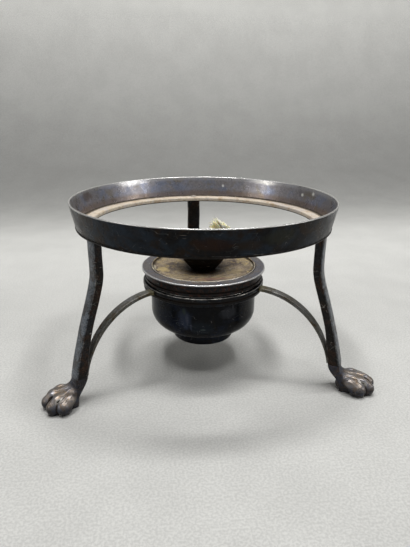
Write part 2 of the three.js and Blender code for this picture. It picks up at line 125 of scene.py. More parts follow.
def link_object(name: str, data: bpy.types.ID) -> bpy.types.Object:
    """Makes an object at the origin and links it to the scene.

    Args:
        name: Its name.
        data: What it shows.

    Returns:
        The object.
    """
    thing = bpy.data.objects.new(name, data)
    bpy.context.scene.collection.objects.link(thing)
    return thing


def make_object(name: str, points: np.ndarray, faces: Sequence[Sequence[int]],
                attributes: Mapping[str, np.ndarray]) -> bpy.types.Object:
    """Makes a smooth mesh object, with its doubles merged.

    Args:
        name: The piece's name.
        points: The points, in millimetres.
        faces: The faces as point numbers, outward side anticlockwise.
        attributes: Numbers kept on the points, by name.

    Returns:
        The object, at the origin, linked to the scene.
    """
    mesh = bpy.data.meshes.new(name)
    mesh.from_pydata((points * MM).tolist(), [], faces)
    for title, values in attributes.items():
        layer = mesh.attributes.new(title, "FLOAT", "POINT")
        layer.data.foreach_set("value", np.ascontiguousarray(values, dtype=np.float32))
    shape = bmesh.new()
    shape.from_mesh(mesh)
    bmesh.ops.remove_doubles(shape, verts=shape.verts, dist=1e-6)
    shape.to_mesh(mesh)
    shape.free()
    mesh.polygons.foreach_set("use_smooth", [True] * len(mesh.polygons))
    return link_object(name, mesh)


def skin_faces(rings: int, sides: int, is_closed: bool, is_capped: bool = False) -> list[tuple[int, ...]]:
    """Numbers the outward faces of a skin over equal rings of points.

    Args:
        rings: How many rings there are, upwards on the outside.
        sides: How many points each ring has, anticlockwise from above.
        is_closed: Whether the last ring joins the first.
        is_capped: Whether the first and the last ring are filled.

    Returns:
        The faces.
    """
    faces: list[tuple[int, ...]] = []
    for ring in range(rings if is_closed else rings - 1):
        here, above = ring * sides, (ring + 1) % rings * sides
        for side in range(sides):
            beside = (side + 1) % sides
            faces.append((here + side, here + beside, above + beside, above + side))
    if is_capped:
        faces.append(tuple(reversed(range(sides))))
        faces.append(tuple(range((rings - 1) * sides, rings * sides)))
    return faces


# Turned pieces


class Corner(NamedTuple):
    """A corner of a turned outline: its distance from the axis and its height, in millimetres.

    rounding is the radius that eases it. zone says which of its finish's two patinas it wears, 0 the
    outside's and 1 the inside's. worn says how far its plate has rubbed off if it is a raised edge.
    """

    radius: float
    height: float
    rounding: float = 0.0
    zone: float = 0.0
    worn: float = 1.0


def arc(centre: tuple[float, float], radii: tuple[float, float], start: float, end: float,
        zone: float = 0.0) -> list[Corner]:
    """Corners along a stretch of an ellipse, both ends included.

    Args:
        centre: Its middle, as distance from the axis and height.
        radii: Its half-axes.
        start, end: The angles of the ends, in degrees.
        zone: The corners' zone.

    Returns:
        The corners.
    """
    steps = 18
    return [Corner(centre[0] + radii[0] * math.cos(angle), centre[1] + radii[1] * math.sin(angle), 0.0, zone)
            for angle in np.radians(np.linspace(start, end, steps + 1))]


class Outline:
    """An outline to be turned round the lamp's axis, anticlockwise, with eased corners.

    Its points are rows of radius, height and zone. It knows its raised edges and hollows, for wear and grime.
    """

    LONGEST_STEP = 1.6
    SUPPORT = 0.3
    CORNER_STEPS = 5
    LONGEST_EASE = 0.48
    LEAST_TURN = math.radians(25)

    def __init__(self, corners: Sequence[Sequence[float]], is_closed: bool) -> None:
        """Draws the outline.

        Args:
            corners: Its corners in order.
            is_closed: Whether the last corner joins the first; otherwise both ends lie on the axis.
        """
        self.points: list[np.ndarray] = []
        self.edges: list[Corner] = []
        self.hollows: list[Corner] = []
        self.corners = [Corner(*corner) for corner in corners]
        places = [np.array([c.radius, c.height, c.zone]) for c in self.corners]
        for number, (corner, here) in enumerate(zip(self.corners, places)):
            is_end = not is_closed and number in (0, len(places) - 1)
            if is_end or corner.rounding <= 0:
                self._reach(here)
            else:
                self._ease(corner, here, places[number - 1] - here, places[(number + 1) % len(places)] - here)
        if is_closed:
            self._reach(self.points[0])
            self.points.pop()

    def _ease(self, corner: Corner, here: np.ndarray, back: np.ndarray, ahead: np.ndarray) -> None:
        """Rounds a corner off.

        Args:
            corner: The corner.
            here: Its place.
            back, ahead: The ways to the corners before and after it.
        """
        cross = ahead[0] * back[1] - ahead[1] * back[0]
        turn = math.atan2(cross, -float(np.dot(back[:2], ahead[:2])))
        reach = corner.rounding * math.tan(abs(turn) / 2)
        start, end = (here + way * min(self.LONGEST_EASE, reach / np.linalg.norm(way[:2]))
                      for way in (back, ahead))
        self._reach(start)
        for step in range(1, self.CORNER_STEPS + 1):
            share = step / self.CORNER_STEPS
            first = start + (here - start) * share
            second = here + (end - here) * share
            self.points.append(first + (second - first) * share)
        if abs(turn) > self.LEAST_TURN:
            (self.edges if turn > 0 else self.hollows).append(corner)

    def _reach(self, target: np.ndarray) -> None:
        """Runs straight on to a point, with support points near both ends.

        Args:
            target: The point.
        """
        if self.points:
            start = self.points[-1]
            length = float(np.linalg.norm((target - start)[:2]))
            if length > 3 * self.SUPPORT:
                steps = max(1, math.ceil((length - 2 * self.SUPPORT) / self.LONGEST_STEP))
                inner = np.linspace(self.SUPPORT / length, 1 - self.SUPPORT / length, steps + 1)
                self.points.extend(start + (target - start) * share for share in inner)
        self.points.append(target)

    def nearness(self, corners: Sequence[Corner], reach: float) -> np.ndarray:
        """How near each point is to the nearest of some corners, from 0 to 1.

        Args:
            corners: The corners.
            reach: How far off the nearness fades, in millimetres.

        Returns:
            One value for each point.
        """
        flat = np.array(self.points)[:, :2]
        near = np.zeros(len(flat))
        for corner in corners:
            gaps = np.linalg.norm(flat - (corner.radius, corner.height), axis=1)
            near = np.maximum(near, corner.worn * np.exp(-((gaps / reach) ** 2)))
        return near


@dataclass(frozen=True)
class Turned:
    """A turned piece, and how far its hand-worked metal strays from round, in millimetres."""

    name: str
    body: Body
    slot: Slot
    node: str
    corners: Sequence[Sequence[float]]
    waviness: float
    seed: int
    sides: int = 288
    is_closed: bool = True

    LOBES = (2, 3, 5, 9, 14, 23)
    EDGE_REACH = 0.55
    HOLLOW_REACH = 0.9
    CALM_RADIUS = 6.0
    CALM_RIM = 20.0

    def wave(self, angles: np.ndarray, heights: np.ndarray) -> np.ndarray:
        """How far the surface stands off the true round, in millimetres.

        Args:
            angles: The angles round the axis, in radians.
            heights: A height for each angle.

        Returns:
            The offset for each angle.
        """
        random = np.random.default_rng(self.seed)
        total = np.zeros(np.broadcast(angles, heights).shape)
        for lobes in self.LOBES:
            phase, slope = random.uniform(0, 2 * math.pi), random.uniform(-0.25, 0.25)
            total = total + np.sin(lobes * angles + slope * heights + phase) / lobes**0.7
        return total * self.waviness / 2

    def build(self) -> None:
        """Turns the outline and dresses the piece, with the attributes edge, hollow and zone."""
        outline = Outline(self.corners, self.is_closed)
        out, up, zone = np.array(outline.points).T[:, :, None]
        angles = np.arange(self.sides) / self.sides * 2 * math.pi
        wobble = self.wave(angles[None], 0 * up) * np.clip(out / self.CALM_RADIUS, 0, 1)
        drift = self.wave(angles[None] + 1, up) * 0.4
        radius = out + wobble
        level = up + drift * np.clip(out / self.CALM_RIM, 0, 1)
        points = np.stack([AXIS.x + radius * np.sin(angles), AXIS.y - radius * np.cos(angles), level], -1)
        columns = {"edge": outline.nearness(outline.edges, self.EDGE_REACH),
                   "hollow": outline.nearness(outline.hollows, self.HOLLOW_REACH), "zone": zone}
        attributes = {title: np.repeat(values, self.sides) for title, values in columns.items()}
        faces = skin_faces(len(out), self.sides, self.is_closed)
        piece = make_object(self.name, points.reshape(-1, 3), faces, attributes)
        dress(piece, self.body, self.slot, self.node)


# Node trees


@dataclass(frozen=True)
class Wire:
    """What a socket puts out. Arithmetic on it adds the nodes that work it out."""

    graph: "Graph"
    socket: bpy.types.NodeSocket

    def _with(self, operation: str, first: "Value", second: "Value") -> "Wire":
        """Adds a node for two values: vector arithmetic if a vector or a colour takes part.

        Args:
            operation: What the node does.
            first, second: The values; a plain number stands for a vector of three of it.

        Returns:
            The result.
        """
        values = (first, second)
        if not any(isinstance(value, Wire) and value.socket.type in ("VECTOR", "RGBA") for value in values):
            return self.graph.math(operation, *values)
        values = [(value,) * 3 if isinstance(value, float) else value for value in values]
        return self.graph.calculate("ShaderNodeVectorMath", operation, values, "Vector")

    def __add__(self, other: "Value") -> "Wire":
        """The sum."""
        return self._with("ADD", self, other)

    def __sub__(self, other: "Value") -> "Wire":
        """The difference."""
        return self._with("SUBTRACT", self, other)

    def __rsub__(self, other: "Value") -> "Wire":
        """The difference, the other way round."""
        return self._with("SUBTRACT", other, self)

    def __mul__(self, other: "Value") -> "Wire":
        """The product."""
        return self._with("MULTIPLY", self, other)

    def __truediv__(self, other: "Value") -> "Wire":
        """The quotient."""
        return self._with("DIVIDE", self, other)

    def __pow__(self, other: "Value") -> "Wire":
        """The power."""
        return self.graph.math("POWER", self, other)

    def __abs__(self) -> "Wire":
        """The value without its sign."""
        return self.graph.math("ABSOLUTE", self)


Value = float | int | str | bool | Sequence[float] | bpy.types.ID | Wire
Effect = Callable[[], bpy.types.NodeTree]


class Graph:
    """Adds nodes to a tree. A plain value goes to a socket as its value, and a wire is linked."""

    def __init__(self, tree: bpy.types.NodeTree) -> None:
        """Keeps the tree that the nodes go in."""
        self.tree = tree

    def feed(self, socket: bpy.types.NodeSocket, value: Value) -> None:
        """Links a wire to a socket, or gives the socket a plain value.

        Args:
            socket: The socket.
            value: The wire or value.
        """
        if isinstance(value, Wire):
            self.tree.links.new(value.socket, socket)
        else:
            socket.default_value = value

    def fill(self, node: bpy.types.Node, inputs: Mapping[str, Value]) -> None:
        """Feeds a node's sockets, by their names."""
        for title, value in inputs.items():
            self.feed(next(s for s in node.inputs if s.name == title and s.enabled), value)

    def add(self, kind: str, inputs: Mapping[str, Value] | None = None, **settings: object) -> bpy.types.Node:
        """Adds a node.

        Args:
            kind: The node's type.
            inputs: Values for its sockets, by their names.
            settings: The node's own settings.

        Returns:
            The node.
        """
        node = self.tree.nodes.new(kind)
        for title, value in settings.items():
            setattr(node, title, value)
        self.fill(node, inputs or {})
        return node

    def out(self, kind: str, inputs: Mapping[str, Value] | None = None, output: int | str = 0,
            **settings: object) -> Wire:
        """Adds a node and returns one of its outputs."""
        return Wire(self, self.add(kind, inputs, **settings).outputs[output])

    def calculate(self, kind: str, operation: str, values: Sequence[Value], output: str,
                  **settings: object) -> Wire:
        """Adds a node of arithmetic, its values in order.

        Args:
            kind: The node's type.
            operation: What it does.
            values: Its values.
            output: The name of its output.
            settings: Its other settings.

        Returns:
            The result.
        """
        node = self.add(kind, operation=operation, **settings)
        for socket, value in zip([s for s in node.inputs if s.enabled], values):
            self.feed(socket, value)
        return Wire(self, node.outputs[output])

    def math(self, operation: str, *values: Value, clamp: bool = False) -> Wire:
        """The result of a Math node."""
        return self.calculate("ShaderNodeMath", operation, values, "Value", use_clamp=clamp)

    def length(self, vector: Wire) -> Wire:
        """The length of a vector."""
        return self.calculate("ShaderNodeVectorMath", "LENGTH", [vector], "Value")

    def split(self, vector: Wire) -> list[Wire]:
        """The three parts of a vector."""
        return [Wire(self, part) for part in self.add("ShaderNodeSeparateXYZ", {"Vector": vector}).outputs]

    def join(self, x: Value, y: Value, z: Value) -> Wire:
        """A vector of three parts."""
        return self.out("ShaderNodeCombineXYZ", {"X": x, "Y": y, "Z": z})

    def remap(self, value: Wire, low: Value, high: Value, to_low: Value = 0.0, to_high: Value = 1.0) -> Wire:
        """Eases a value from one range to another."""
        sockets = {"Value": value, "From Min": low, "From Max": high, "To Min": to_low, "To Max": to_high}
        return self.out("ShaderNodeMapRange", sockets, "Result", interpolation_type="SMOOTHSTEP")

    def noise(self, vector: Wire, scale: Value, detail: float = 4.0, roughness: float = 0.55,
              distortion: float = 0.0) -> Wire:
        """The value of a noise texture."""
        return self.out("ShaderNodeTexNoise", {"Vector": vector, "Scale": scale, "Detail": detail,
                                               "Roughness": roughness, "Distortion": distortion})

    def mix(self, factor: Value, first: Value, second: Value, blend: str = "MIX") -> Wire:
        """Mixes two colours."""
        sockets = {"Factor": factor, "A": first, "B": second}
        return self.out("ShaderNodeMix", sockets, 2, data_type="RGBA", blend_type=blend)

    def attribute(self, name: str) -> Wire:
        """The value of an attribute of the mesh."""
        return self.out("ShaderNodeAttribute", None, "Fac", attribute_name=name)

    def bump(self, height: Wire, strength: float = 1.0) -> Wire:
        """The normal of a relief given in millimetres."""
        return self.out("ShaderNodeBump", {"Height": height, "Distance": MM, "Strength": strength}, "Normal")

    def place(self) -> Wire:
        """The place on the piece, in millimetres from the foot of the lamp's axis."""
        return self.out("ShaderNodeMapping", {"Vector": self.out("ShaderNodeTexCoord", None, "Object"),
                                              "Location": (-AXIS.x, -AXIS.y, 0.0), "Scale": (1 / MM,) * 3})

    def effect(self, effect: Effect, **inputs: Value) -> Wire:
        """Places a shared effect and returns its result."""
        return self.out("ShaderNodeGroup", inputs, node_tree=effect())


BLACK: Colour = (0.0, 0.0, 0.0, 1.0)


def shared_effect(name: str, kind: str = "Float", **inputs: Value) -> Callable[[Callable[..., Wire]], Effect]:
    """Turns a function of wires into a shader node group that is built once.

    Args:
        name: The group's name.
        kind: Whether its result is a Float or a Color.
        inputs: Its inputs after Vector, with their usual values; four numbers are a colour, three a vector.

    Returns:
        A decorator for the function, which then gives the group.
    """

    def wrap(work: Callable[..., Wire]) -> Effect:
        """Keeps the function that works out the group's result.

        Args:
            work: The function.

        Returns:
            What gives the group.
        """

        @cache
        def group() -> bpy.types.NodeTree:
            """Builds the group.

            Returns:
                The group's tree.
            """
            tree = bpy.data.node_groups.new(name, "ShaderNodeTree")
            sockets = {"Vector": (0.0,) * 3, **inputs}
            for title, value in sockets.items():
                size = len(value) if isinstance(value, tuple) else 1
                socket_type = {1: "NodeSocketFloat", 3: "NodeSocketVector", 4: "NodeSocketColor"}[size]
                socket = tree.interface.new_socket(title, in_out="INPUT", socket_type=socket_type)
                socket.default_value = value
            tree.interface.new_socket("Result", in_out="OUTPUT", socket_type=f"NodeSocket{kind}")
            graph = Graph(tree)
            start = graph.add("NodeGroupInput").outputs
            result = work(graph, *(Wire(graph, start[title]) for title in sockets))
            graph.add("NodeGroupOutput", {"Result": result})
            return tree

        return group

    return wrap


@shared_effect("tarnish_clouds", "Color", Ground=BLACK, Cool=BLACK, Warm=BLACK, Scale=0.05, Mottle=0.3)
def clouds(graph: Graph, vector: Wire, ground: Wire, cool: Wire, warm: Wire, scale: Wire,
           mottle: Wire) -> Wire:
    """Tarnish that drifts between three colours, finely mottled.

    Args:
        graph: The group's graph.
        vector: The place on the piece.
        ground, cool, warm: The colours.
        scale: How fine the clouds are.
        mottle: How strong the mottle is.

    Returns:
        The colour.
    """
    shifted = vector + (31.0, 17.0, 53.0)
    cooled = graph.remap(graph.noise(vector, scale, 5.0, 0.6, 0.6), 0.42, 0.62)
    warmed = graph.remap(graph.noise(shifted, scale * 1.7, 5.0, 0.62, 0.9), 0.48, 0.66)
    colour = graph.mix(warmed, graph.mix(cooled, ground, cool), warm)
    shade = graph.remap(graph.noise(shifted, scale * 14.0, 4.0, 0.6), 0.3, 0.7, 1.0 - mottle, mottle + 1.0)
    return graph.mix(1.0, colour, shade, "MULTIPLY")


@shared_effect("edge_wear", Edge=0.0, Amount=1.0, Scale=0.25)
def wear(graph: Graph, vector: Wire, edge: Wire, amount: Wire, scale: Wire) -> Wire:
    """Bare metal along raised edges, broken up where the plate still holds.

    Args:
        graph: The group's graph.
        vector: The place on the piece.
        edge: How near a raised edge is.
        amount: How far the wear spreads.
        scale: How fine its breaks are.

    Returns:
        The mask.
    """
    broken = graph.noise(vector, scale, 5.0, 0.65) * 0.7 + graph.noise(vector, scale * 9.0, 3.0, 0.6) * 0.3
    reach = edge * amount
    return graph.remap(reach + (broken - 0.5), 0.35, 0.75) * graph.remap(reach, 0.0, 0.2)


@shared_effect("hollow_grime", Hollow=0.0, Amount=1.0, Scale=0.4)
def grime(graph: Graph, vector: Wire, hollow: Wire, amount: Wire, scale: Wire) -> Wire:
    """Dirt that has gathered in hollows.

    Args:
        graph: The group's graph.
        vector: The place on the piece.
        hollow: How near a hollow is.
        amount: How much dirt there is.
        scale: How fine its edge is.

    Returns:
        The mask.
    """
    caught = hollow * amount + (graph.noise(vector, scale, 4.0, 0.6) - 0.5) * 0.9
    return graph.remap(caught, 0.25, 0.8)


@shared_effect("hairline_scratches", Scale=0.12, Amount=1.0)
def hairlines(graph: Graph, vector: Wire, scale: Wire, amount: Wire) -> Wire:
    """Fine scratches in two directions, thicker in some places than in others.

    Args:
        graph: The group's graph.
        vector: The place on the piece.
        scale: How fine the scratches are.
        amount: How strong they are.

    Returns:
        The mask.
    """
    masks = []
    for turn, stretch in (((0.3, 0.5, 0.8), (1.0, 0.12, 1.0)), ((1.1, -0.4, 0.2), (0.15, 1.0, 1.0))):
        aimed = graph.out("ShaderNodeMapping", {"Vector": vector, "Rotation": turn, "Scale": stretch})
        line = graph.remap(abs(graph.noise(aimed, scale, 2.0, 0.5, 0.3) - 0.5), 0.005, 0.0)
        masks.append(line * graph.remap(graph.noise(aimed, scale * 2.7, 2.0), 0.5, 0.62))
    return graph.math("MAXIMUM", *masks) * amount


@shared_effect("turning_marks", Pitch=0.35)
def turning(graph: Graph, vector: Wire, pitch: Wire) -> Wire:
    """The faint rings that a spinning lathe leaves, as a height.

    Args:
        graph: The group's graph.
        vector: The place on the piece.
        pitch: How far apart the rings are, in millimetres.

    Returns:
        The height.
    """
    x, y, z = graph.split(vector)
    run = (graph.length(graph.join(x, y, 0.0)) + z) / pitch
    return graph.noise(graph.join(run, 0.0, 0.0), 0.9, 3.0, 0.7)


@shared_effect("specks", Scale=0.6, Size=0.2, Amount=0.3)
def specks(graph: Graph, vector: Wire, scale: Wire, size: Wire, amount: Wire) -> Wire:
    """Small round spots, scattered here and there.

    Args:
        graph: The group's graph.
        vector: The place on the piece.
        scale: How close the spots are.
        size: How wide they are.
        amount: Which part of them shows.

    Returns:
        The mask.
    """
    cells = graph.add("ShaderNodeTexVoronoi", {"Vector": vector, "Scale": scale}).outputs
    chance = graph.split(Wire(graph, cells["Color"]))[0]
    spot = graph.remap(Wire(graph, cells["Distance"]), size, size * 0.4)
    return spot * graph.math("LESS_THAN", chance, amount)


@shared_effect("patch", Centre=(0.0, 0.0, 0.0), Size=(1.0, 1.0, 1.0), Ragged=0.6)
def patch(graph: Graph, vector: Wire, centre: Wire, size: Wire, ragged: Wire) -> Wire:
    """One stain, scuff or painted highlight at a given place, with a ragged edge.

    Args:
        graph: The group's graph.
        vector: The place on the piece.
        centre: Its middle.
        size: How far it spreads.
        ragged: How ragged its edge is.

    Returns:
        The mask.
    """
    away = (vector - centre) / size
    rag = (graph.noise(away, 1.6, 5.0, 0.65) - 0.5) * ragged
    return graph.remap(graph.length(away) + rag, 1.0, 0.45)


# Finishes


def start_material(name: str) -> tuple[bpy.types.Material, Graph, bpy.types.Node]:
    """A new material with its graph and its Principled shader.

    Args:
        name: The material's name.

    Returns:
        The material, the graph and the shader.
    """
    material = bpy.data.materials.new(name)
    material.use_nodes = True
    return material, Graph(material.node_tree), material.node_tree.nodes["Principled BSDF"]


class Mark(NamedTuple):
    """A stain, scuff or painted highlight: its angle from the front, its radius, its height and how far it
    spreads, in mm.
    """

    angle: float
    radius: float
    height: float
    size: Triple
    shade: Shade
    strength: float = 1.0
    ragged: float = 0.9

    def centre(self) -> Triple:
        """Its middle, from the foot of the lamp's axis."""
        angle = math.radians(self.angle)
        return self.radius * math.sin(angle), -self.radius * math.cos(angle), self.height


def belt(height: float, reach: float, shade: Shade, strength: float, ragged: float = 0.5) -> Mark:
    """A stain, or a band of painted highlight, all round a turned piece at one height."""
    return Mark(0, 0, height, (300.0, 300.0, reach), shade, strength, ragged)


class Patina(NamedTuple):
    """The tarnish on one side of a piece: its shades, how metallic it still is, and its stains and painted
    highlights.
    """

    ground: Shade
    cool: Shade
    warm: Shade
    metal: float = 0.1
    marks: tuple[Mark, ...] = ()


@dataclass(frozen=True)
class PlatedFinish:
    """A metal finish: two patinas that the zone attribute mixes, wear, grime, scratches, stains and painted
    highlights.
    """

    slot: Slot
    outside: Patina
    inside: Patina
    bare: Shade = (186, 182, 175)
    dirt: Shade = (27, 21, 16)
    cloud_scale: float = 0.05
    mottle: float = 0.3
    wear: float = 1.0
    wear_scale: float = 0.25
    grime: float = 1.0
    scratches: float = 0.4
    specks: float = 0.0
    roughness: float = 0.36
    index: float = 1.4
    gloss: float = 0.14
    grain: float = 0.03
    turning: float = 0.0
    fur: float = 0.0

    def material(self) -> bpy.types.Material:
        """Builds the material, named after its slot.

        Returns:
            The material.
        """
        material, graph, shader = start_material(self.slot.value)
        place = graph.place()
        bare, dirt = srgb(self.bare), srgb(self.dirt)
        worn = graph.effect(wear, Vector=place, Edge=graph.attribute("edge"), Amount=self.wear,
                            Scale=self.wear_scale)
        dirty = graph.effect(grime, Vector=place, Hollow=graph.attribute("hollow"), Amount=self.grime)
        lines = graph.effect(hairlines, Vector=place, Amount=self.scratches)
        colour = graph.mix(worn, graph.mix(lines * 0.5, self._tarnish(graph, place), bare), bare)
        metal = graph.remap(graph.attribute("zone"), 0.0, 1.0, self.outside.metal, self.inside.metal)
        haze = graph.noise(place, self.cloud_scale * 3, 5.0, 0.6)
        rough = graph.remap(haze, 0.3, 0.7, self.roughness * 0.75, self.roughness * 1.3)
        rough = graph.math("ADD", rough, dirty * 0.35, clamp=True)
        graph.fill(shader, {
            "Base Color": graph.mix(dirty * 0.85, colour, dirt),
            "Metallic": graph.math("MAXIMUM", metal, worn * 0.95) * (1.0 - dirty * 0.8),
            "Roughness": graph.math("MINIMUM", rough, graph.remap(worn, 0.0, 1.0, 1.0, 0.27)),
            "IOR": self.index,
            "Specular IOR Level": self.gloss,
            "Normal": graph.bump(self._relief(graph, place, lines)),
        })
        return material

    def _tarnish(self, graph: Graph, place: Wire) -> Wire:
        """The tarnish with its stains, painted highlights and specks, before wear and grime.

        Args:
            graph: The material's graph.
            place: The place on the piece.

        Returns:
            The colour.
        """
        sides = []
        for patina in (self.outside, self.inside):
            side = graph.effect(clouds, Vector=place, Ground=srgb(patina.ground), Cool=srgb(patina.cool),
                                Warm=srgb(patina.warm), Scale=self.cloud_scale, Mottle=self.mottle)
            for mark in patina.marks:
                mask = graph.effect(patch, Vector=place, Centre=mark.centre(), Size=mark.size,
                                    Ragged=mark.ragged)
                side = graph.mix(mask * mark.strength, side, srgb(mark.shade))
            sides.append(side)
        colour = graph.mix(graph.attribute("zone"), *sides)
        if self.specks > 0:
            spots = graph.effect(specks, Vector=place, Amount=self.specks)
            colour = graph.mix(spots * 0.6, colour, srgb(self.dirt))
        return colour

    def _relief(self, graph: Graph, place: Wire, lines: Wire) -> Wire:
        """The surface's small relief, in millimetres: grain, scratches, turning marks and fur.

        Args:
            graph: The material's graph.
            place: The place on the piece.
            lines: The scratches' mask.

        Returns:
            The height.
        """
        height = graph.noise(place, 1.1, 5.0, 0.6) * self.grain - lines * 0.01
        if self.turning > 0:
            height = height + graph.effect(turning, Vector=place) * self.turning
        if self.fur > 0:
            hair = graph.math("SINE", graph.attribute("fur")) * graph.attribute("coat")
            height = height + hair * self.fur
        return height


FINISHES = (
    PlatedFinish(
        Slot.COLLAR,
        outside=Patina((15, 15, 17), (29, 37, 46), (34, 24, 15), marks=(
            Mark(-3, 78.4, 102, (13, 6, 4.5), (41, 22, 13), 0.6),
            Mark(10, 78.4, 101, (9, 6, 4), (39, 27, 13), 0.6),
            Mark(22, 78.4, 104, (13, 8, 5), (43, 44, 34), 0.55),
            Mark(-13, 78.4, 106.9, (2.4, 3, 0.22), (101, 94, 87), 0.8, 0.3),
            Mark(-12.6, 78.4, 105.4, (1.3, 3, 0.2), (80, 75, 72), 0.8, 0.3),
        )),
        inside=Patina((133, 130, 133), (123, 128, 144), (126, 120, 113), 0.75, (
            belt(97.6, 4.2, (120, 102, 87), 0.6),
            belt(96.2, 0.8, (181, 168, 149), 0.9, 0.6),
            # painted highlight: a lighter band round the top of the inner wall, where it mirrors the side
            # lights
            belt(110.0, 3.6, (157, 156, 157), 0.6, 0.9),
            # bright patches, partly rubbed plate and partly painted highlight, where the inner wall mirrors
            # the two side windows
            Mark(-144, 77.4, 108.6, (17, 13, 3.0), (195, 193, 192), 0.7, 1.0),
            Mark(139, 77.4, 108.8, (13, 11, 2.4), (195, 192, 186), 0.75, 1.5),
            Mark(163, 77.4, 104, (1.2, 2, 1.3), (240, 240, 236), 0.8, 0.5),
            Mark(113, 77.4, 104.5, (1.2, 1.8, 1.4), (240, 240, 234), 0.8, 0.4),
            Mark(104.6, 77.4, 107, (1.4, 2.2, 1.9), (246, 246, 242), 0.8, 0.4),
            Mark(-110, 77.0, 106, (8, 8, 4), (82, 63, 49), 0.6),
        )),
        bare=(206, 205, 203), mottle=0.16, wear=1.4, gloss=0.125, scratches=0.35, roughness=0.3,
    ),
    PlatedFinish(
        Slot.LEDGE,
        outside=Patina((204, 192, 174), (192, 183, 174), (180, 159, 133), 0.0),
        inside=Patina((27, 25, 23), (37, 36, 36), (32, 25, 20)),
        cloud_scale=0.12, mottle=0.18, roughness=0.42, wear=0.6, grime=0.4, specks=0.12,
    ),
    PlatedFinish(
        Slot.LEG,
        outside=Patina((26, 24, 22), (34, 34, 36), (48, 34, 25), 0.1),
        # painted light: the legs' outer faces wear this lighter patina, as lit, and their sides the darker
        # one
        inside=Patina((76, 80, 84), (98, 104, 112), (62, 58, 56), 0.5),
        cloud_scale=0.09, mottle=0.7, wear=0.4, scratches=0.8, gloss=0.19,
    ),
    PlatedFinish(
        Slot.PAW,
        outside=Patina((142, 133, 125), (125, 124, 128), (130, 113, 96), 0.8, (
            Mark(-58.2, 103, 6.6, (2.4, 2.4, 2.0), (140, 102, 53), 0.8, 0.6),
        )),
        # painted shade: this dark bluish patina lies on the paws' low parts, inner ankles and heels
        inside=Patina((48, 46, 47), (55, 59, 70), (70, 60, 56), 0.55),
        dirt=(36, 26, 17), cloud_scale=0.2, mottle=0.2, wear=0.7, wear_scale=0.3, grime=1.2, roughness=0.34,
        gloss=0.25, fur=0.06,
    ),
    PlatedFinish(
        Slot.ARM,
        outside=Patina((84, 82, 76), (98, 98, 97), (70, 58, 42), 0.4),
        inside=Patina((126, 124, 98), (134, 132, 117), (117, 107, 76), 0.3),
        cloud_scale=0.12, mottle=0.6, gloss=0.2, roughness=0.38,
    ),
    PlatedFinish(
        Slot.HOLDER,
        outside=Patina((17, 18, 20), (25, 30, 36), (27, 21, 18)),
        inside=Patina((15, 14, 14), (20, 21, 23), (24, 19, 15)),
        cloud_scale=0.12, wear=0.75, roughness=0.3,
    ),
    PlatedFinish(
        Slot.POT,
        outside=Patina((11, 13, 17), (19, 25, 37), (19, 17, 15), 0.0, (
            Mark(-25, 33.5, 42, (5.5, 5, 8), (46, 54, 72), 0.8, 0.8),
            Mark(-8, 33.5, 37, (10, 6, 6), (28, 36, 44), 0.6, 0.8),
            Mark(21, 33.5, 46, (7, 6, 4.5), (56, 58, 64), 0.6, 0.9),
            Mark(-25.8, 33.5, 47.4, (1.6, 2, 2.6), (55, 65, 55), 0.6, 1.6),
            Mark(-22.6, 33.5, 42.4, (1.4, 2, 4.2), (70, 75, 87), 0.6, 1.6),
            Mark(-18.4, 33.3, 37.6, (1.0, 2, 3.2), (58, 63, 77), 0.6, 1.5),
            Mark(-6, 32.6, 36.4, (2.4, 3, 0.8), (65, 73, 72), 0.7, 1.3),
            Mark(14.5, 33.5, 48, (1.8, 2, 0.5), (63, 65, 70), 0.7, 1.2),
            Mark(26, 33.5, 49.4, (0.5, 2, 2.2), (67, 68, 73), 0.7, 1.4),
        )),
        inside=Patina((43, 34, 25), (39, 36, 34), (55, 39, 24), 0.3),
        cloud_scale=0.06, mottle=0.35, wear=0.7, roughness=0.2, gloss=0.1, turning=0.004,
    ),
    PlatedFinish(
        Slot.LID,
        outside=Patina((18, 17, 17), (28, 30, 33), (66, 38, 25)),
        inside=Patina((94, 90, 89), (82, 85, 96), (97, 87, 79), 0.45),
        bare=(214, 214, 214), cloud_scale=0.22, mottle=1.0, wear=1.35, gloss=0.17, specks=0.2,
    ),
    PlatedFinish(
        Slot.DISH,
        outside=Patina((138, 124, 104), (84, 74, 68), (150, 134, 98), 0.25, (
            Mark(-80, 26, 64.5, (4.5, 7, 6), (180, 161, 113), 0.7, 1.4),
            Mark(-84, 31.6, 66, (1.6, 9, 2), (196, 188, 164), 0.8, 1.2),
            Mark(84, 31.6, 66, (1.4, 7, 2), (180, 172, 150), 0.7, 1.2),
            Mark(-40, 25, 64.5, (8, 6, 6), (149, 135, 108), 0.5, 1.4),
            Mark(62, 22, 64.5, (7, 5, 6), (149, 133, 99), 0.6, 1.4),
            Mark(8, 24, 64.5, (14, 4, 6), (133, 101, 90), 0.6, 1.3),
            Mark(0, 0, 64, (17, 17, 8), (87, 72, 55), 0.7, 1.0),
        )),
        inside=Patina((29, 22, 17), (25, 21, 19), (48, 31, 20)),
        cloud_scale=0.13, mottle=0.7, wear=0.9, roughness=0.5, specks=0.5, turning=0.003,
    ),
    PlatedFinish(
        Slot.SOOT,
        outside=Patina((12, 9, 7), (14, 13, 12), (31, 19, 11)),
        inside=Patina((10, 8, 8), (13, 13, 12), (22, 15, 11)),
        cloud_scale=0.2, wear=0.3, roughness=0.5, gloss=0.1,
    ),
    PlatedFinish(
        Slot.BRASS,
        outside=Patina((94, 77, 44), (72, 67, 55), (80, 55, 29), 0.85),
        inside=Patina((49, 37, 22), (44, 37, 29), (55, 36, 19), 0.7),
        bare=(161, 138, 87), cloud_scale=0.3, roughness=0.38,
    ),
)


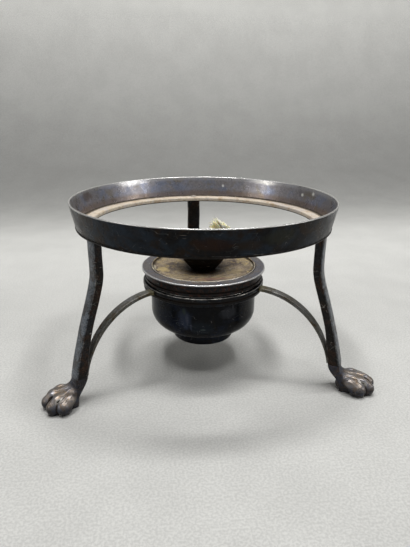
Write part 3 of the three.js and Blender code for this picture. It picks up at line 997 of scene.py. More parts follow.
@dataclass(frozen=True)
class CottonFinish:
    """Twisted cotton: cream yarn with yellower stretches, and fibres that wind round each strand."""

    slot: Slot = Slot.COTTON
    cream: Shade = (255, 252, 228)
    gold: Shade = (254, 238, 172)
    # the colour of the painted shade in the fibres' grooves
    shade: Shade = (240, 204, 120)
    twist: float = 5.5
    lay: float = 3.0

    def material(self) -> bpy.types.Material:
        """Builds the material, named after its slot.

        Returns:
            The material.
        """
        material, graph, shader = start_material(self.slot.value)
        place = graph.place()
        along = graph.attribute("along") * (self.twist / MM)
        fibre = graph.math("SINE", along + graph.attribute("around") * (2 * math.pi * self.lay))
        tint = graph.remap(graph.noise(place, 0.5, 4.0, 0.6), 0.35, 0.65)
        colour = graph.mix(tint, srgb(self.cream), srgb(self.gold))
        # painted shade: the grooves between the fibres are darkened towards the shade colour
        groove = graph.remap(fibre, 0.2, -1.0) * 0.25
        relief = fibre * 0.05 + graph.noise(place, 9.0, 3.0, 0.6) * 0.06
        graph.fill(shader, {
            "Base Color": graph.mix(groove, colour, srgb(self.shade)),
            "Roughness": 0.9,
            "Subsurface Weight": 0.8,
            "Subsurface Radius": (1.0, 0.85, 0.6),
            "Subsurface Scale": 1.6 * MM,
            "Sheen Weight": 0.8,
            "Sheen Roughness": 0.6,
            "Normal": graph.bump(relief, 0.8),
        })
        return material


@cache
def finish_of(slot: Slot) -> bpy.types.Material:
    """The material of a slot, built the first time that a piece asks for it."""
    finishes = {finish.slot: finish for finish in (*FINISHES, CottonFinish())}
    return finishes[slot].material()


def dress(piece: bpy.types.Object, body: Body, slot: Slot, *nodes: str) -> None:
    """Gives a finished piece its slot's material and its body, and hides the CAD nodes that it stands for.

    Args:
        piece: The piece, with every modifier applied.
        body: The body that it rides on.
        slot: The record's slot that it takes its finish from.
        nodes: The CAD nodes that it replaces.
    """
    piece.data.materials.clear()
    piece.data.materials.append(finish_of(slot))
    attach(piece, body.value)
    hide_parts(*nodes)
    LOG.info("%s: %d faces on %s", piece.name, len(piece.data.polygons), body.value)


# Geometry Nodes


class Recipe:
    """A Geometry Nodes tree with named inputs that makes a piece."""

    KINDS = {float: "NodeSocketFloat", int: "NodeSocketInt", bpy.types.Material: "NodeSocketMaterial"}

    def __init__(self, name: str, numbers: Sequence[str], counts: Sequence[str] = ()) -> None:
        """Starts the tree.

        Args:
            name: The tree's name.
            numbers: The names of its inputs that are lengths, angles and the like.
            counts: The names of its inputs that are whole numbers.
        """
        self.tree = bpy.data.node_groups.new(name, "GeometryNodeTree")
        self.identifiers: dict[str, str] = {}
        kinds = {**dict.fromkeys(counts, int), **dict.fromkeys(numbers, float),
                 "Material": bpy.types.Material}
        for title, kind in kinds.items():
            socket = self.tree.interface.new_socket(title, in_out="INPUT", socket_type=self.KINDS[kind])
            self.identifiers[title] = socket.identifier
        self.tree.interface.new_socket("Geometry", in_out="OUTPUT", socket_type="NodeSocketGeometry")
        self.graph = Graph(self.tree)
        start = self.graph.add("NodeGroupInput").outputs
        self.inputs = {title: Wire(self.graph, start[title]) for title in kinds}

    def keep(self, geometry: Wire, **values: Value) -> Wire:
        """Stores numbers on the geometry's points under their names.

        Args:
            geometry: The geometry.
            values: The numbers.

        Returns:
            The geometry with them.
        """
        for name, value in values.items():
            sockets = {"Geometry": geometry, "Name": name, "Value": value}
            geometry = self.graph.out("GeometryNodeStoreNamedAttribute", sockets, data_type="FLOAT")
        return geometry

    def tube(self, curve: Wire, sides: Value, radius: Wire) -> Wire:
        """Gives curves a round body, with how far along and around it each point lies.

        Args:
            curve: The curves.
            sides: How many sides the body has.
            radius: Its radius.

        Returns:
            The mesh.
        """
        spline = self.graph.add("GeometryNodeSplineParameter").outputs
        curve = self.keep(curve, along=Wire(self.graph, spline["Length"]))
        circle = self.graph.out("GeometryNodeCurvePrimitiveCircle", {"Resolution": sides, "Radius": radius},
                                "Curve", mode="RADIUS")
        circle = self.keep(circle, around=Wire(self.graph, spline["Factor"]))
        sockets = {"Curve": curve, "Profile Curve": circle, "Fill Caps": True}
        return self.graph.out("GeometryNodeCurveToMesh", sockets)

    def close(self, geometry: Wire) -> "Recipe":
        """Ends the tree with real, smooth, dressed geometry.

        Args:
            geometry: The finished geometry.

        Returns:
            The recipe.
        """
        graph = self.graph
        real = graph.out("GeometryNodeRealizeInstances", {"Geometry": geometry})
        smooth = graph.add("GeometryNodeSetShadeSmooth")
        graph.feed(smooth.inputs[0], real)
        dressed = graph.out("GeometryNodeSetMaterial", {"Geometry": Wire(graph, smooth.outputs[0]),
                                                        "Material": self.inputs["Material"]})
        graph.feed(graph.add("NodeGroupOutput").inputs[0], dressed)
        return self

    def make(self, name: str, slot: Slot, lengths: Mapping[str, float], **values: float) -> bpy.types.Object:
        """Runs the tree and keeps its result as a plain mesh, without the modifier.

        Args:
            name: The piece's name.
            slot: The slot of its finish.
            lengths: The inputs that are lengths, in millimetres.
            values: The other inputs, with low lines for the gaps in their names.

        Returns:
            The object.
        """
        piece = link_object(name, bpy.data.meshes.new(name))
        modifier = piece.modifiers.new(self.tree.name, "NODES")
        modifier.node_group = self.tree
        numbers = {title.replace("_", " "): value for title, value in values.items()}
        sizes = {title: length * MM for title, length in lengths.items()}
        for title, value in {**numbers, **sizes, "Material": finish_of(slot)}.items():
            modifier[self.identifiers[title]] = value
        evaluated = piece.evaluated_get(bpy.context.evaluated_depsgraph_get())
        mesh = bpy.data.meshes.new_from_object(evaluated)
        piece.modifiers.remove(modifier)
        piece.data = mesh
        mesh.name = name
        return piece


# Collar


@dataclass
class Collar:
    """The flared band that keeps the vessel in place, and the flat ring whose ledge carries it."""

    flare: float = 3.2
    wall: float = 1.3
    ledge_width: float = 7.2
    lip_width: float = 1.2
    lip_drop: float = 1.3
    lip_roll: float = 1.5
    solder: float = 1.5
    band: Extent = field(default_factory=partial(Extent.of, "collar_band"))
    seat: Extent = field(default_factory=partial(Extent.of, "seat_ring"))

    def build(self) -> None:
        """Makes the band with its worn rim and fillet of solder, and the ring with its turned-down lip."""
        (radius, foot, top), (seat_radius, bottom, ledge) = self.band, self.seat
        foot_radius = radius - self.flare
        foot_inner = foot_radius - self.wall
        rise = (ledge - foot) / (top - foot)
        band = [
            (foot_inner, foot), (foot_radius, foot, 0.12, 0.0, 0.3), (radius, top, 0.45),
            (radius - self.wall * 0.8, top, 0.45, 1.0),
            (radius - self.wall - self.flare * 0.12, top - 2.2, 3.0, 1.0),
            (foot_inner + self.flare * rise, ledge + 0.12, self.solder, 1.0),
            (foot_inner - self.solder, ledge + 0.02, 0.0, 1.0), (foot_inner, ledge - 0.05, 0.0, 1.0),
        ]
        Turned("band", Body.STAND, Slot.COLLAR, "collar_band", band, 0.16, 4, 360).build()
        inner = foot_inner - self.ledge_width
        behind = inner + self.lip_width
        lip = bottom - self.lip_drop
        seat = [
            (inner, lip, 0.3, 1.0, 0.2), (behind, lip, 0.3, 1.0, 0.2), (behind, bottom, 0.2, 1.0),
            (seat_radius, bottom, 0.35, 1.0, 0.2), (seat_radius, foot, 0.3, 1.0, 0.45),
            (foot_inner, foot, 0.0, 1.0), (foot_inner, ledge), (inner + 1.6, ledge),
            (inner, ledge, self.lip_roll), (inner, lip + 0.6), (inner, lip + 0.5, 0.0, 1.0, 0.2),
        ]
        Turned("ledge_ring", Body.STAND, Slot.LEDGE, "seat_ring", seat, 0.1, 9, 360).build()


# Legs


def ease_between(low: float, high: float, values: np.ndarray) -> np.ndarray:
    """A smooth step from 0 at one value to 1 at another."""
    share = np.clip((values - low) / (high - low), 0, 1)
    return share**2 * (3 - 2 * share)


def ground_turn(side: str) -> np.ndarray:
    """The matrix that turns what is drawn along +X to a leg's side."""
    return np.array(Matrix.Rotation(leg_turn(LEG_ANGLES[side]), 3, "Z"))


@dataclass
class Leg:
    """One leg: a flat bar with eased edges, straight at the top and swept out to the ankle."""

    side: str
    thickness: float = 4.8
    ankle_thickness: float = 6.9
    straight: float = 18.2
    upper_sweep: float = 11.4
    lower_sweep: float = 40.0
    lean: float = 0.221
    easing: float = 1.0
    crown: float = 0.25
    solder: float = 0.9
    solder_reach: float = 0.35
    hand_wave: float = 0.09
    rings: int = 72
    side_points: int = 7
    corner_points: int = 5

    def __post_init__(self) -> None:
        """Reads the bar's place from the frame: the back leg lies along +Y."""
        low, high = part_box("leg_back")
        self.top_radius = (low.y / MM - AXIS.y) + self.thickness
        self.ankle_radius = high.y / MM - AXIS.y
        self.bottom = low.z / MM
        self.top = high.z / MM
        self.width = (high.x - low.x) / MM

    def outer_face(self, heights: np.ndarray) -> np.ndarray:
        """How far the outer face stands from the lamp's axis at some heights, in millimetres.

        Args:
            heights: The heights, in millimetres.

        Returns:
            One distance each.
        """
        start = np.array([self.top_radius, self.top - self.straight])
        end = np.array([self.ankle_radius, self.bottom])
        upper = start - (0, self.upper_sweep)
        lower = end + (-self.lean * self.lower_sweep, self.lower_sweep)
        share = np.linspace(0, 1, 200)[:, None]
        curve = ((1 - share) ** 3 * start + 3 * (1 - share) ** 2 * share * upper
                 + 3 * (1 - share) * share**2 * lower + share**3 * end)
        return np.interp(heights, curve[::-1, 1], curve[::-1, 0])

    def depth(self, heights: np.ndarray) -> np.ndarray:
        """How thick the bar is at some heights: more towards the ankle.

        Args:
            heights: The heights, in millimetres.

        Returns:
            One thickness each.
        """
        from_height = (2 * self.bottom + self.top) / 3
        share = ease_between(from_height, self.bottom, heights)
        return self.thickness + (self.ankle_thickness - self.thickness) * share

    def section(self) -> np.ndarray:
        """The bar's section in a square of half-size 1, anticlockwise.

        Returns:
            Rows of across (out from the axis), along (sideways) and how near the point is to an edge.
        """
        rows = []
        ease = np.array([2 * self.easing / self.thickness, 2 * self.easing / self.width])
        signs = np.array([(1, 1), (-1, 1), (-1, -1), (1, -1)])

        def at(quarter: int, angle: float) -> np.ndarray:
            """A point on the eased corner of a quarter."""
            return signs[quarter % 4] * (1 - ease) + ease * (math.cos(angle), math.sin(angle))

        for quarter in range(4):
            turn, following = quarter * math.pi / 2, (quarter + 1) * math.pi / 2
            for step in range(self.corner_points):
                bend = math.pi / 2 * step / (self.corner_points - 1)
                is_edge = 0 < step < self.corner_points - 1
                rows.append((*at(quarter, turn + bend), math.sin(2 * bend) ** 0.5 if is_edge else 0.0))
            first, last = at(quarter, following), at(quarter + 1, following)
            for step in range(1, self.side_points):
                rows.append((*(first + (last - first) * step / self.side_points), 0.0))
        return np.array(rows)

    def build(self) -> None:
        """Makes the leg."""
        near_top = self.top - np.array([0.15, 0.3, 0.5, 0.75, 1.0])
        heights = np.sort(np.r_[np.linspace(self.bottom, self.top, self.rings), near_top])[:, None]
        outer, depth = self.outer_face(heights), self.depth(heights)
        section = self.section()
        across, along, edge = section.T
        flow = self.solder * np.exp(-(self.top - heights) / self.solder_reach)
        crown = self.crown * (1 - along**2) * (np.abs(across) > 0.9) * np.sign(across)
        radial = outer - depth / 2 + across * (depth / 2 + flow) + crown
        hand = self.hand_wave * np.sin(heights * 0.31 + LEG_ANGLES[self.side])
        sideways = along * (self.width / 2 + flow) + hand
        level = np.broadcast_to(heights, radial.shape)
        points = np.stack([radial, sideways, level], axis=-1).reshape(-1, 3)
        attributes = {
            "edge": np.tile(edge, len(heights)),
            "hollow": np.repeat(np.exp(-(self.top - heights) / 0.8), len(edge)),
            # painted light: the zone gives the outer face the lighter patina, as lit
            "zone": np.tile(np.clip(across * 4 - 3, 0, 1), len(heights)),
        }
        placed = points @ ground_turn(self.side).T + np.array(AXIS)
        faces = skin_faces(len(heights), len(section), False, True)
        piece = make_object(f"leg_bar_{self.side}", placed, faces, attributes)
        dress(piece, Body.STAND, Slot.LEG, f"leg_{self.side}")


# Paws


def melt(first: np.ndarray, second: np.ndarray, reach: float) -> np.ndarray:
    """Joins two solids, given as distances to their surfaces, with a fillet."""
    near = np.maximum(reach - np.abs(first - second), 0) / reach
    return np.minimum(first, second) - near**2 * reach / 4


def limb(points: np.ndarray, start: Sequence[float], end: Sequence[float],
         radii: tuple[float, float]) -> np.ndarray:
    """Distances to a rounded limb between two points, with the radii of its ends.

    Args:
        points: The points.
        start, end: The middles of the limb's ends.
        radii: The ends' radii.

    Returns:
        One distance each.
    """
    start, axis = np.array(start, float), np.array(end, float) - np.array(start, float)
    away = points - start
    share = np.clip(away @ axis / (axis @ axis), 0, 1)
    return np.linalg.norm(away - share[:, None] * axis, axis=1) - (radii[0] + (radii[1] - radii[0]) * share)


def lump(points: np.ndarray, centre: Sequence[float], radii: Sequence[float]) -> np.ndarray:
    """Distances, nearly, to an ellipsoid.

    Args:
        points: The points.
        centre: The ellipsoid's middle.
        radii: Its half-axes.

    Returns:
        One distance each.
    """
    away, radii = points - np.array(centre, float), np.array(radii, float)
    far = np.linalg.norm(away / radii, axis=1)
    slope = np.linalg.norm(away / radii**2, axis=1)
    return far * (far - 1) / np.maximum(slope, 1e-6)


class Toe(NamedTuple):
    """A toe: the middle of its pad on the ground, the way it points in degrees, and its pad's half-axes."""

    along: float
    across: float
    heading: float
    pad: Triple


class Setting(NamedTuple):
    """How a paw was soldered on and dressed: its turn in degrees, and its length as a part of the mould's."""

    turn: float
    length: float


@dataclass
class Paw:
    """A cast paw: instep, heel, ball and four clawed toes, drawn as distances and skinned.

    Its own frame has +X out along the leg from the ankle's outer face, and +Z up from the ground.
    """

    ankle_height: float = 16.0
    ankle_depth: float = 6.9
    half_width: float = 4.5
    easing: float = 0.9
    toes: tuple[Toe, ...] = (
        Toe(10.3, 7.2, 14.0, (4.9, 3.8, 4.4)), Toe(15.5, 3.4, 5.0, (4.4, 3.8, 4.2)),
        Toe(15.5, -3.4, -5.0, (4.4, 3.8, 4.2)), Toe(10.3, -7.2, -14.0, (4.9, 3.8, 4.4)))
    ball: tuple[Triple, Triple] = ((7.4, 0, 4.4), (8.4, 6.8, 5.9))
    heel: tuple[Triple, Triple] = ((2.2, 0, 3.0), (4.1, 4.2, 3.4))
    knuckle: Triple = (4.3, 3.2, 3.4)
    knuckle_height: float = 6.9
    notch: Triple = (2.1, 0.8, 1.5)
    notch_height: float = 7.0
    notch_setback: float = 0.6
    ridge: tuple[float, float] = (1.5, 1.9)
    ridge_height: float = 9.8
    claw: tuple[float, float] = (1.0, 0.55)
    step: float = 0.36
    probe: float = 1.0
    fur_lines: int = 90
    fur_pivot: float = 11.0

    SETTINGS = {"left": Setting(1.5, 0.93), "right": Setting(8.0, 1.04), "back": Setting(4.0, 1.0)}
    GRID = ((-9.0, 23.5), (-12.0, 12.0), (-1.0, 17.0))
    SWEEPS = (True,) * 5 + (False,) * 2

    def foot(self, points: np.ndarray) -> np.ndarray:
        """Distances to the four toes: ridges that melt into each other, and round pads that stay apart.

        Args:
            points: The points, in the paw's frame.

        Returns:
            One distance each.
        """
        ridges = pads = None
        for along, across, heading, radii in self.toes:
            turn = np.array(Matrix.Rotation(math.radians(heading), 3, "Z"))
            here = (points - (along, across, 0)) @ turn
            length, _, height = radii
            back = np.array([along, across, 0]) + turn @ np.array([1.2 - length, 0, self.knuckle_height])
            tendon = limb(points, (0.5, across * 0.3, self.ridge_height), back + (-1.5, 0, 1.0), self.ridge)
            ridge = melt(tendon, lump((points - back) @ turn, (0, 0, 0), self.knuckle), 1.6)
            claw = limb(here, (length - 2.6, 0, 2.2), (length - 1.1, 0, 1.2), self.claw)
            pad = melt(lump(here, (0, 0, height - 0.2), radii), claw, 0.3)
            ridges = ridge if ridges is None else melt(ridges, ridge, 2.0)
            pads = pad if pads is None else melt(pads, pad, 0.3)
        return melt(ridges, pads, 1.3)

    def instep(self, points: np.ndarray) -> np.ndarray:
        """Distances to the ankle and instep, which start as the leg's section.

        Args:
            points: The points, in the paw's frame.

        Returns:
            One distance each.
        """
        x, y, z = points.T
        rise = ease_between(4.0, self.ankle_height, z)
        front = 8.5 * (1 - ease_between(6.5, self.ankle_height, z)) ** 2.2
        back = -self.ankle_depth * rise**0.8 + 0.5 * (1 - rise)
        half = self.half_width + 1.2 * (1 - ease_between(5.5, self.ankle_height - 1, z))
        across = np.abs(x - (front + back) / 2) - (front - back) / 2 + self.easing
        side = np.abs(y) - half + self.easing
        outside = np.hypot(np.maximum(across, 0), np.maximum(side, 0))
        return outside + np.minimum(np.maximum(across, side), 0) - self.easing

    def distances(self, points: np.ndarray) -> np.ndarray:
        """Distances from points in the paw's frame to its whole surface, negative inside.

        Args:
            points: The points, in millimetres.

        Returns:
            One distance each.
        """
        whole = melt(self.instep(points), lump(points, *self.ball), 2.4)
        whole = melt(whole, lump(points, *self.heel), 1.2)
        whole = melt(whole, self.foot(points), 1.3)
        for left, right in itertools.pairwise(self.toes):
            along, across = (left.along + right.along) / 2, (left.across + right.across) / 2
            notch = lump(points, (along - self.notch_setback, across, self.notch_height), self.notch)
            whole = -melt(-whole, notch, 0.7)
        z = points[:, 2]
        whole = -melt(-whole, z, 0.5)
        return np.maximum(whole, z - self.ankle_height)

    def gradient(self, points: np.ndarray) -> np.ndarray:
        """The outward direction at each point.

        Args:
            points: The points, in the paw's frame.

        Returns:
            One unit vector each.
        """
        shifts = 0.05 * np.eye(3)
        slope = np.stack([self.distances(points + s) - self.distances(points - s) for s in shifts], axis=1)
        return slope / np.maximum(np.linalg.norm(slope, axis=1, keepdims=True), 1e-9)

    def skin(self) -> tuple[np.ndarray, np.ndarray]:
        """Lays a net of quads over the surface and draws it tight.

        Returns:
            The points in the paw's frame and the faces as point numbers.
        """
        axes = [np.arange(low, high, self.step) for low, high in self.GRID]
        grid = np.stack(np.meshgrid(*axes, indexing="ij"), axis=-1)
        inside = (self.distances(grid.reshape(-1, 3)) < 0).reshape(grid.shape[:3])
        ends = (slice(None, -1), slice(1, None))
        count = sum(inside[corner].astype(int) for corner in itertools.product(ends, repeat=3))
        cells = (count > 0) & (count < 8)
        number = np.full(cells.shape, -1)
        number[cells] = np.arange(cells.sum())
        points = grid[:-1, :-1, :-1][cells] + self.step / 2
        faces = []
        for axis in range(3):
            first = np.moveaxis(inside, axis, 0)
            cell = np.moveaxis(number, axis, 0)
            layer, row, column = np.argwhere(first[:-1, 1:-1, 1:-1] != first[1:, 1:-1, 1:-1]).T
            around = ((0, 0), (1, 0), (1, 1), (0, 1))
            quads = np.stack([cell[layer, row + a, column + b] for a, b in around], axis=1)
            leaves = first[layer, row + 1, column + 1]
            flips = leaves if axis != 1 else ~leaves
            quads[~flips] = quads[~flips][:, ::-1]
            faces.append(quads)
        faces = np.concatenate(faces)
        for is_relaxed in self.SWEEPS:
            points = points - self.gradient(points) * self.distances(points)[:, None]
            if is_relaxed:
                points = self.relax(points, faces)
        return points, faces

    @staticmethod
    def relax(points: np.ndarray, faces: np.ndarray) -> np.ndarray:
        """Moves each point half way to the middle of its neighbours.

        Args:
            points: The net's points.
            faces: Its faces as point numbers.

        Returns:
            The moved points.
        """
        total = np.zeros_like(points)
        count = np.zeros(len(points))
        for a, b in ((0, 1), (1, 2), (2, 3), (3, 0)):
            for here, there in ((faces[:, a], faces[:, b]), (faces[:, b], faces[:, a])):
                np.add.at(total, here, points[there])
                np.add.at(count, here, 1)
        return 0.5 * points + 0.5 * total / np.maximum(count, 1)[:, None]

    def set_on(self, points: np.ndarray, setting: Setting) -> np.ndarray:
        """Turns and stretches a paw's toes, while its ankle stays in line with its leg.

        Args:
            points: Points in the paw's frame.
            setting: How the paw was soldered on and dressed.

        Returns:
            The moved points.
        """
        x, y, z = points.T
        share = 1 - ease_between(8.0, self.ankle_height - 0.5, z)
        turn = math.radians(setting.turn) * share
        across = x * (1 + (setting.length - 1) * share) + self.ankle_depth / 2
        return np.stack([across * np.cos(turn) - y * np.sin(turn) - self.ankle_depth / 2,
                         across * np.sin(turn) + y * np.cos(turn), z], axis=1)

    def build(self, ankle_radius: float) -> None:
        """Makes the three paws, which came from one mould and were soldered on a little askew.

        Args:
            ankle_radius: How far the legs' outer faces stand from the lamp's axis at the ankle.
        """
        points, faces = self.skin()
        normals = self.gradient(points)
        hollow = 1 - self.distances(points + normals * self.probe) / self.probe
        edge = 1 + self.distances(points - normals * self.probe) / self.probe
        x, y, z = points.T
        below = 1 - ease_between(self.ankle_height - 2.5, self.ankle_height - 1, z)
        # painted shade: through the zone, the low parts, the ankle's inner side and the heel take the dark
        # bluish patina
        low = 1 - ease_between(4.0, 8.2, z)
        ankle = 0.75 * ease_between(11.0, 15.0, z)
        heel = 1 - ease_between(0.5, 5.5, x)
        attributes = {
            "edge": np.clip(edge * 1.6 - 0.1, 0, 1) * below,
            "hollow": np.clip(hollow * 2.2 - 0.1, 0, 1),
            "zone": np.clip(low + ankle * (1 - 0.7 * np.clip(normals[:, 0], 0, 1)) + heel, 0, 1),
            "fur": np.arctan2(y, x + self.fur_pivot) * self.fur_lines + 1.5 * np.sin(x * 0.55),
            "coat": ease_between(5.5, 8.5, z) * below * (1 - ease_between(11.5, 13.5, x)),
        }
        for side, setting in self.SETTINGS.items():
            moved = self.set_on(points, setting) + (ankle_radius, 0, 0)
            placed = moved @ ground_turn(side).T + np.array(AXIS)
            piece = make_object(f"cast_paw_{side}", placed, faces.tolist(), attributes)
            dress(piece, Body.STAND, Slot.PAW, f"paw_{side}")


# Arms and rivets


@dataclass
class Arms:
    """The three quarter-arc bars that carry the lamp's ring, and the peened rivets in the ledge."""

    width: float = 5.4
    thickness: float = 2.3
    tip: float = 0.3
    taper_power: float = 4.0
    squareness: float = 0.17
    solder: float = 0.35
    rivet_head: float = 2.3

    def bar_recipe(self) -> Recipe:
        """The tree that bends a rounded bar along an arc and lays it at its leg.

        Returns:
            The recipe, with its sizes in metres and angles in radians.
        """
        recipe = Recipe("bent_bar", ("Start", "Top", "Radius", "End Angle", "Width", "Thickness", "Tip",
                                     "Taper Power", "Squareness", "Solder", "Turn"))
        graph, inputs = recipe.graph, recipe.inputs
        sockets = {"Vertices": 40, "Side Segments": 96, "Radius": 1.0, "Depth": 1.0}
        rod = graph.out("GeometryNodeMeshCylinder", sockets, "Mesh", fill_type="NGON")
        x, y, z = graph.split(graph.out("GeometryNodeInputPosition"))
        share = z + 0.5
        across, rise = (abs(part) ** inputs["Squareness"] * graph.math("SIGN", part) for part in (x, y))
        angle = share * (inputs["End Angle"] - math.pi / 2) + math.pi / 2
        taper = share ** inputs["Taper Power"]
        depth = inputs["Thickness"] + taper * (inputs["Tip"] - inputs["Thickness"])
        near_end = share**60.0
        flow = inputs["Solder"] * ((1.0 - share) ** 60.0 + near_end)
        reach = inputs["Radius"] + depth * 0.5 * (rise - 1.0)
        out = inputs["Start"] + reach * graph.math("COSINE", angle)
        up = (inputs["Top"] - inputs["Radius"]) + reach * graph.math("SINE", angle)
        bent = graph.join(out, across * (inputs["Width"] * 0.5 + flow), up)
        laid = graph.out("ShaderNodeVectorRotate", {"Vector": bent, "Angle": inputs["Turn"]},
                         rotation_type="Z_AXIS")
        soldered = graph.math("MINIMUM", 1.0, (1.0 - share) ** 28.0 + share**40.0)
        bar = recipe.keep(rod, edge=(abs(across) * abs(rise)) ** 6.0, zone=soldered, hollow=near_end)
        sockets = {"Geometry": bar, "Position": laid + tuple(AXIS * MM)}
        return recipe.close(graph.out("GeometryNodeSetPosition", sockets))

    def rivet_recipe(self) -> Recipe:
        """The tree that sets a low domed head over each leg.

        Returns:
            The recipe, with its sizes in metres.
        """
        recipe = Recipe("peened_heads", ("Circle", "Ledge", "Head", "Rise", "First Turn"), ("Count",))
        graph, inputs = recipe.graph, recipe.inputs
        dome = graph.out("GeometryNodeMeshUVSphere", {"Segments": 32, "Rings": 16, "Radius": 1.0}, "Mesh")
        x, y, z = graph.split(graph.out("GeometryNodeInputPosition"))
        size = graph.noise(graph.join(x, y, 0.0), 1.7, 2.0) * 0.25 + 0.88
        dome = graph.out("GeometryNodeSetPosition", {"Geometry": dome,
                                                     "Position": graph.join(x * size, y * size, z)})
        dome = recipe.keep(dome, edge=z * 0.9, hollow=0.9 - z, zone=0.35)
        ring = graph.out("GeometryNodeMeshCircle", {"Vertices": inputs["Count"], "Radius": inputs["Circle"]})
        circle = graph.out("GeometryNodeTransform", {
            "Geometry": ring, "Rotation": graph.join(0.0, 0.0, inputs["First Turn"]),
            "Translation": graph.join(0.0, 0.0, inputs["Ledge"]) + tuple(AXIS * MM)})
        scale = graph.join(inputs["Head"], inputs["Head"], inputs["Rise"])
        return recipe.close(graph.out("GeometryNodeInstanceOnPoints",
                                      {"Points": circle, "Instance": dome, "Scale": scale}))

    def build(self) -> None:
        """Makes the arms, whose arc is read from the back arm's box, and the rivet heads."""
        low, high = (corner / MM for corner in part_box("arm_back"))
        start = Extent.of("holder_ring").radius
        reach, drop = high.y - AXIS.y - start, high.z - low.z
        radius = (reach**2 + drop**2) / (2 * drop)
        sizes = {"Start": start, "Top": high.z, "Radius": radius, "Width": self.width,
                 "Thickness": self.thickness, "Tip": self.tip, "Solder": self.solder}
        recipe = self.bar_recipe()
        for side, angle in LEG_ANGLES.items():
            piece = recipe.make(f"arm_bar_{side}", Slot.ARM, sizes, Taper_Power=self.taper_power,
                                Squareness=self.squareness, End_Angle=math.asin(1 - drop / radius),
                                Turn=leg_turn(angle))
            dress(piece, Body.STAND, Slot.ARM, f"arm_{side}")
        low, high = (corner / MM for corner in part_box("rivet_back"))
        ledge = Extent.of("seat_ring").top
        heads = {"Circle": (low.y + high.y) / 2 - AXIS.y, "Ledge": ledge, "Head": self.rivet_head,
                 "Rise": high.z - ledge}
        piece = self.rivet_recipe().make("peened_rivets", Slot.LEDGE, heads, Count=len(LEG_ANGLES),
                                         First_Turn=leg_turn(LEG_ANGLES["back"]))
        dress(piece, Body.STAND, Slot.LEDGE, *(f"rivet_{side}" for side in LEG_ANGLES))


# Lamp


